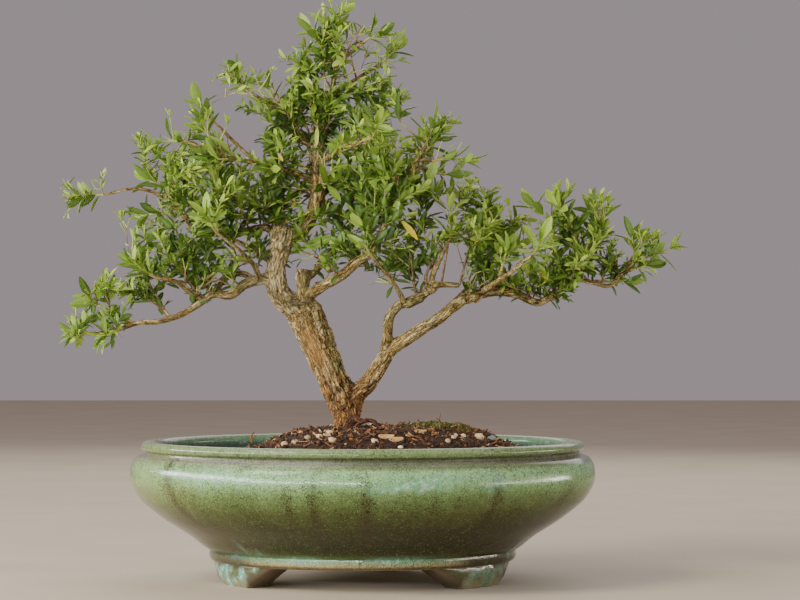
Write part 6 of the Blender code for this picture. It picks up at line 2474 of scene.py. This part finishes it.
    def fits(self, leaf: Leaf) -> bool:
        """Whether a leaf stays in the solids' box and clear of the leaves already there."""
        middle = leaf.middle()
        low, high = self.leader_clear
        on_leader = all(low[axis] < middle[axis] < high[axis] for axis in range(3))
        if on_leader or not self.in_box(leaf) or self.in_gap(middle) or self.in_gap(leaf.tip()):
            return False
        x, y, z = self.cell(middle)
        for shift in product((-1, 0, 1), repeat=3):
            for other in self.cells.get((x + shift[0], y + shift[1], z + shift[2]), ()):
                if (other - middle).length < self.crowding:
                    return False
        return True

    def put(self, leaf: Leaf, is_solid: bool = False) -> None:
        """Keeps a leaf if it fits, or in any case if it is one of the solids'."""
        while is_solid and not self.in_box(leaf):
            leaf.length *= self.shrink
        if is_solid or self.fits(leaf):
            self.leaves.append(leaf)
            middle = leaf.middle()
            self.cells.setdefault(self.cell(middle), []).append(middle)

    def leaf_on(
        self, place: Vector, tangent: Vector, turn: tuple, size: tuple, rng: random.Random
    ) -> Leaf:
        """A leaf that leaves a stem at an angle.

        Args:
            place: the node on the stem.
            tangent: the stem's direction.
            turn: the leaf's direction round the stem, and the degrees between it and the stem.
            size: the leaf's length and age.
            rng: the generator.

        Returns:
            The leaf, its top toward the stem's tip and the sky.
        """
        across = Matrix.Rotation(turn[0], 3, tangent) @ tangent.orthogonal().normalized()
        angle = math.radians(turn[1])
        lift = Vector((0, 0, self.leaf_lift))
        along = (math.cos(angle) * tangent + math.sin(angle) * across + lift).normalized()
        up = tangent + Vector((rng.uniform(*self.leaf_sway), rng.uniform(*self.leaf_sway), self.sky_pull))
        return Leaf(place, along, squared(up, along), *size, rng.uniform(*self.leaf_widths))

    def clothe(self, stations: Stations, dress: LeafDress, rng: random.Random) -> None:
        """Puts pairs of leaves along a stem, each a quarter turn from the last, and a tip tuft.

        Args:
            stations: the stem.
            dress: what its leaves are like.
            rng: the generator.
        """
        places = [place for place, _ in stations]
        steps = [(low, high, (high - low).length) for low, high in zip(places, places[1:])]
        total = sum(length for _, _, length in steps)
        roll = rng.uniform(0, math.tau)
        reach = total * dress.start
        while reach < total:
            left = reach
            for low, high, length in steps:
                if left <= length:
                    place, tangent = low.lerp(high, left / length), (high - low).normalized()
                    break
                left -= length
            share = reach / total
            for side in (0.0, math.pi):
                if rng.random() < self.leaf_share:
                    size = rng.uniform(*dress.lengths) * (self.base_size - self.size_fall * share)
                    lean = rng.uniform(*self.leaf_leans) - self.lean_fall * share
                    tone = dress.age - self.tone_fall * share + rng.uniform(*self.tone_stray)
                    self.put(self.leaf_on(place, tangent, (roll + side, lean), (size, tone), rng))
            roll += math.pi / 2 + rng.uniform(*self.roll_stray)
            reach += dress.spacing * rng.uniform(*self.spacing_stray)
        tangent = steps[-1][1] - steps[-1][0]
        tangent.normalize()
        for number in range(4):
            part, leans = self.tuft[number // 2]
            size = rng.uniform(*dress.lengths) * part
            turn = roll + number * math.pi / 2, rng.uniform(*leans)
            tone = dress.age - rng.uniform(*self.tuft_younger)
            self.put(self.leaf_on(places[-1], tangent, turn, (size, tone), rng))

    def side_shoot(self, place: Vector, tangent: Vector, length: float, rng: random.Random) -> Stations:
        """Adds a short stem that leaves another and bends up to the light.

        Args:
            place: where it starts.
            tangent: the direction of the wood or stem that bears it.
            length: its length.
            rng: the generator.

        Returns:
            Its stations.
        """
        across = Matrix.Rotation(rng.uniform(0, math.tau), 3, tangent) @ tangent.orthogonal().normalized()
        lean = math.radians(rng.uniform(*self.side_leans))
        lift = Vector((0, 0, self.side_lift))
        way = (math.cos(lean) * tangent + math.sin(lean) * across + lift).normalized()
        count = max(3, round(length / self.side_step))
        spot = place.copy()
        thick, taper = self.side_radii
        stations = [(spot.copy(), thick)]
        for step in range(count):
            bend = Vector([rng.uniform(*self.side_sway) for _ in range(3)])
            way = (way + bend + Vector((0, 0, self.side_climb))).normalized()
            spot = spot + way * length / count
            stations.append((spot.copy(), thick - taper * (step + 1) / count))
        self.stems.append(Stem(stations, self.side_tones))
        return stations

    def grow_spray(self, shoot: PlannedShoot, node: str, rng: random.Random) -> None:
        """Dresses one spray: its own stem and leaves, then small side shoots and leaves."""
        solid = self.solid_leaves(node)
        before, seat = (place for place, _ in shoot.wood[-2:])
        way = (seat - before).normalized()
        knots = [seat - self.knot_gap * way, seat + self.first_knot * way]
        for leaf in sorted(solid, key=lambda item: (item.root - seat).length):
            if (leaf.root - knots[-1]).length > self.knot_gap:
                knots.append(leaf.root)
        thick, taper = self.spray_radii
        route = [(*knot, thick - taper * number / len(knots)) for number, knot in enumerate(knots)]
        stations = smooth_route(route, self.stem_spacing)
        self.stems.append(Stem(stations, self.spray_tones))
        youngest, oldest = self.spray_ages
        for leaf in solid:
            far = (leaf.root - seat).length / self.spray_reach
            age = self.spray_age - self.spray_age_fall * far + rng.uniform(*self.spray_age_stray)
            leaf.age = min(oldest, max(youngest, age))
            leaf.width = rng.uniform(*self.spray_widths)
            self.put(leaf, True)
        self.clothe(stations[2:], self.on_spray, rng)
        for knot in knots[1:-1]:
            for _ in range(rng.randint(*self.side_shoots_per_node)):
                side = self.side_shoot(knot, way, rng.uniform(*self.side_shoot_length), rng)
                self.clothe(side, self.on_side_shoot, rng)

    def fill_seats(self) -> np.ndarray:
        """Rows (x, y, z, radius) of the places on wood and stems where a thin twig may start."""
        limbs = [smooth_route(limb.route, self.fill_spacing)[1:] for limb in LIMBS if limb.bears_twigs]
        seats = [
            (*place, radius)
            for stations in limbs
            for place, radius in stations
            if place.z > self.lowest_seat and radius < self.thickest_seat
        ]
        seats += [(*place, radius) for stem in self.twigs + self.stems for place, radius in stem.stations[1:]]
        return np.array(seats)

    def fill(self) -> None:
        """Fills the foliage between the sprays with thin twigs."""
        seats = self.fill_seats()
        for number, (middle, half, count) in enumerate(self.fill_masses):
            rng = random.Random(self.seed + 100 * number)
            for _ in range(count):
                seats = self.fill_twig(middle, half, seats, rng)

    def fill_twig(self, middle: tuple, half: tuple, seats: np.ndarray, rng: random.Random) -> np.ndarray:
        """Grows a thin twig from the nearest wood to a random place in a mass, and clothes it.

        Args:
            middle: the middle of the mass.
            half: its half sizes.
            seats: where a twig may start.
            rng: the mass's generator.

        Returns:
            The seats, with those on the new twig.
        """
        way = Vector((2, 0, 0))
        while way.length > 1:
            way = stray(rng)
        tip = Vector(m + h * w for m, h, w in zip(middle, half, way))
        gaps = np.array(tip) - seats[:, :3]
        wanted = rng.uniform(*self.fill_lengths)
        down = np.maximum(0.0, self.fill_climb - gaps[:, 2])
        costs = np.abs(np.linalg.norm(gaps, axis=1) - wanted) + self.fill_down_cost * down
        seat = seats[int(costs.argmin())]
        start, radius = Vector(seat[:3]), float(seat[3])
        reach = (tip - start).length
        if not self.fill_reach[0] < reach < self.fill_reach[1]:
            return seats
        sag = Vector((rng.uniform(-1, 1), rng.uniform(-1, 1), rng.uniform(*self.fill_sag)))
        bend = start.lerp(tip, 0.5) + self.fill_bend * reach * sag
        most, share, least, growth = self.fill_thick
        thick = min(most, share * radius, least + growth * reach)
        route = [(*start, thick), (*bend, self.bend_share * thick), (*tip, self.fill_tip)]
        stations = smooth_route(route, self.fill_spacing)
        most, least, woody_reach, green = self.fill_woody
        self.stems.append(Stem(stations, (min(most, least + reach / woody_reach), green)))
        leafy = max(self.on_fill.start, 1 - self.leafy_length / reach)
        self.clothe(stations, replace(self.on_fill, start=leafy), rng)
        if reach > self.forked_from:
            for place, _ in stations[len(stations) // 2 : -1 : 3]:
                length = rng.uniform(*self.fill_side_length)
                side = self.side_shoot(place, (tip - start).normalized(), length, rng)
                self.clothe(side, self.on_fill_side, rng)
        return np.vstack([seats, [(*place, radius) for place, radius in stations[2:]]])

    def add_accents(self) -> None:
        """Adds the leaves that stand out, each on the stem in front of its place."""
        spots = [place for stem in self.stems for place, _ in stem.stations[1:]]
        for accent in self.accents:
            x, z = accent.root
            near = [spot for spot in spots if math.hypot(spot.x - x, spot.z - z) < self.accent_reach]
            root = min(near or spots, key=lambda spot: spot.y + 2 * math.hypot(spot.x - x, spot.z - z))
            way = Vector((accent.tip[0] - root.x, self.accent_depth, accent.tip[1] - root.z))
            along = way.normalized()
            up = squared(Vector(self.accent_up), along)
            self.leaves.append(Leaf(root, along, up, way.length, accent.age, accent.width))

    def add_bare_twigs(self, rng: random.Random) -> None:
        """Adds the bare upright twigs that stand on the branches, leafy only at their tips."""
        wood = [place for limb in LIMBS for place, _ in smooth_route(limb.route, self.stem_spacing)]
        for twig in self.bare_twigs:
            x, z = twig.start
            root = min(wood, key=lambda place: math.hypot(place.x - x, place.z - z))
            middle = Vector((twig.middle[0], root.y + 0.5 * twig.lean, twig.middle[1]))
            tip = Vector((twig.tip[0], root.y + twig.lean, twig.tip[1]))
            radii = twig.radius, self.bend_share * twig.radius, self.bare_tip
            route = [(*place, radius) for place, radius in zip((root, middle, tip), radii)]
            self.add_twig(route, self.on_bare_twig, rng)

    def add_twig(self, route: list, dress: LeafDress, rng: random.Random) -> None:
        """Adds a woody twig along a route, and its leaves."""
        stations = smooth_route(route, self.twig_spacing)
        self.twigs.append(Stem(stations, self.twig_tones))
        self.clothe(stations, dress, rng)

    def add_fan(self, rng: random.Random) -> None:
        """Adds the fan of bare red-brown twigs at the leader's top, each with a tuft at its tip."""
        root = Vector(self.fan_root)
        share, spread, rise = self.fan_bend
        for tip in self.fan_tips:
            end = Vector(tip)
            bend = root.lerp(end, share) + Vector((spread * (end.x - root.x), 0, rise))
            route = [(*place, radius) for place, radius in zip((root, bend, end), self.fan_radii)]
            self.add_twig(route, self.on_fan, rng)

    def shade(self) -> None:
        """Makes the leaves under others older and darker, a painted shade, and those on top younger and
        lighter, a painted light.
        """
        places = np.array([leaf.middle() for leaf in self.leaves])
        cells = np.floor((places - places.min(axis=0)) / self.cover_cell).astype(int)
        counts = np.zeros(cells.max(axis=0) + 1)
        np.add.at(counts, tuple(cells.T), 1)
        cover = np.zeros_like(counts)
        for level in range(counts.shape[2] - 2, -1, -1):
            cover[:, :, level] = counts[:, :, level + 1] + self.cover_fade * cover[:, :, level + 1]
        least, most = self.cover_shift
        for leaf, cell in zip(self.leaves, cells):
            share = smoothstep(*self.cover_span, float(cover[tuple(cell)]))
            leaf.age = max(self.least_age, leaf.age + least + (most - least) * share)

    def grow(self) -> None:
        """Grows everything."""
        rng = random.Random(self.seed)
        sprays = sorted(name for name in frame["nodes"] if name.startswith("leaf_spray"))
        shoots = {f"leaf_spray_{shoot.number:02d}": shoot for shoot in self.plan.shoots()}
        for shoot in shoots.values():
            if shoot.twig is not None:
                stations = smooth_route(shoot.twig, self.twig_spacing)
                self.twigs.append(Stem(stations, self.plan_twig_tones))
        for name in sprays:
            self.grow_spray(shoots[name], name, rng)
        solid_count = len(self.leaves)
        self.add_bare_twigs(rng)
        self.add_fan(rng)
        self.fill()
        self.shade()
        self.add_accents()
        LOG.info("leaves on the sprays: %d, in all: %d", solid_count, len(self.leaves))

    # Building

    def stem_piece(self, name: str, stems: list[Stem], sides: int, material: Material) -> Body:
        """Runs a tube along every stem.

        Args:
            name: the piece's name.
            stems: the stems.
            sides: the sides of their section.
            material: their finish.

        Returns:
            The piece.
        """
        points, edges, widths, tones = [], [], [], []
        for stem in stems:
            first = len(points)
            for number, (place, radius) in enumerate(stem.stations):
                share = number / (len(stem.stations) - 1)
                points.append(place)
                widths.append(radius * METRES_PER_MM)
                tones.append(stem.tones[0] + (stem.tones[1] - stem.tones[0]) * share)
            edges += [(number, number + 1) for number in range(first, len(points) - 1)]
        mesh = point_mesh(name, points, {"width": widths, "tone": tones}, edges)
        tool = NodeTool("tubes_along_stems", {"Sides": sides, "Material": material})
        curves = tool.add("GeometryNodeMeshToCurve", {"Mesh": tool.size("Geometry")})
        ring = tool.add("GeometryNodeCurvePrimitiveCircle", {"Resolution": tool.size("Sides"), "Radius": 1.0})
        inputs = {"Curve": curves.outputs[0], "Profile Curve": ring.outputs[0], "Fill Caps": True}
        tubes = tool.add("GeometryNodeCurveToMesh", inputs | {"Scale": tool.named("width")})
        smooth = tool.add("GeometryNodeSetShadeSmooth", {"Geometry": tubes.outputs[0]})
        return tool.run(name, mesh, smooth.outputs[0])

    def leaf_piece(
        self, name: str, leaves: list[Leaf], blades: bpy.types.Collection, material: Material
    ) -> Body:
        """Sets a blade on every leaf's root.

        Args:
            name: the piece's name.
            leaves: the leaves.
            blades: the shapes of blade.
            material: their finish.

        Returns:
            The piece.
        """
        rng = random.Random(self.seed + len(leaves))
        values = {name: [] for name in ("turn", "turn_w", "size", "shape", "tint", "age")}
        for leaf in leaves:
            turn = Matrix((leaf.along, leaf.up.cross(leaf.along), leaf.up)).transposed().to_quaternion()
            size = leaf.length * METRES_PER_MM
            first = len(BladeForm) if leaf.length < self.small_leaf else 0
            values["turn"].append((turn.x, turn.y, turn.z))
            values["turn_w"].append(turn.w)
            values["size"].append((size, size * leaf.width, size))
            values["shape"].append(first + rng.randrange(len(BladeForm)))
            values["tint"].append(rng.uniform(-0.5, 0.5))
            values["age"].append(leaf.age)
        tool = NodeTool("leaves_on_stems", {"Shapes": blades, "Material": material})
        parts = tool.add("ShaderNodeSeparateXYZ", {"Vector": tool.named("turn", "FLOAT_VECTOR")})
        inputs = {axis: parts.outputs[axis] for axis in "XYZ"} | {"W": tool.named("turn_w")}
        turn = tool.add("FunctionNodeQuaternionToRotation", inputs).outputs[0]
        geometry = tool.instances(tool.named("shape", "INT"), turn, tool.named("size", "FLOAT_VECTOR"))
        return tool.run(name, point_mesh(name, [leaf.root for leaf in leaves], values), geometry)

    def build(self) -> None:
        """Builds the twigs, the stems and the leaves."""
        self.grow()
        twigs = self.stem_piece("woody_twigs", self.twigs, self.twig_sides, TwigBark().material())
        finish_piece(twigs, "bark", "trunk_and_branches")
        stems = self.stem_piece("green_stems", self.stems, self.stem_sides, GreenStem().material())
        finish_piece(stems, "leaf")
        blades = hold_shapes("blade", LeafMould().blades())
        material = WaxyLeaf().material()
        sprays = [name for name in frame["nodes"] if name.startswith("leaf_spray")]
        for name, low, high in self.parts:
            own = [leaf for leaf in self.leaves if low <= leaf.root.x < high]
            ends = Place.to_frame(Vector((low, 0, 0))).x, Place.to_frame(Vector((high, 0, 0))).x
            nodes = [node for node in sprays if ends[0] <= sum(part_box(node), Vector()).x / 2 < ends[1]]
            finish_piece(self.leaf_piece(name, own, blades, material), "leaf", *nodes)
        drop_shapes(blades)


def main() -> None:
    """Builds the scene in order."""
    logging.basicConfig(level=logging.INFO, format="%(name)s: %(message)s")
    noise.seed_set(NOISE_SEED)
    Studio().build()
    GlazedPot().build()
    Soil().build()
    Wood().build()
    Foliage(TreePlan()).build()
    DrainScreens().build()


if __name__ == "__main__":
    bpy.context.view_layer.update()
    main()
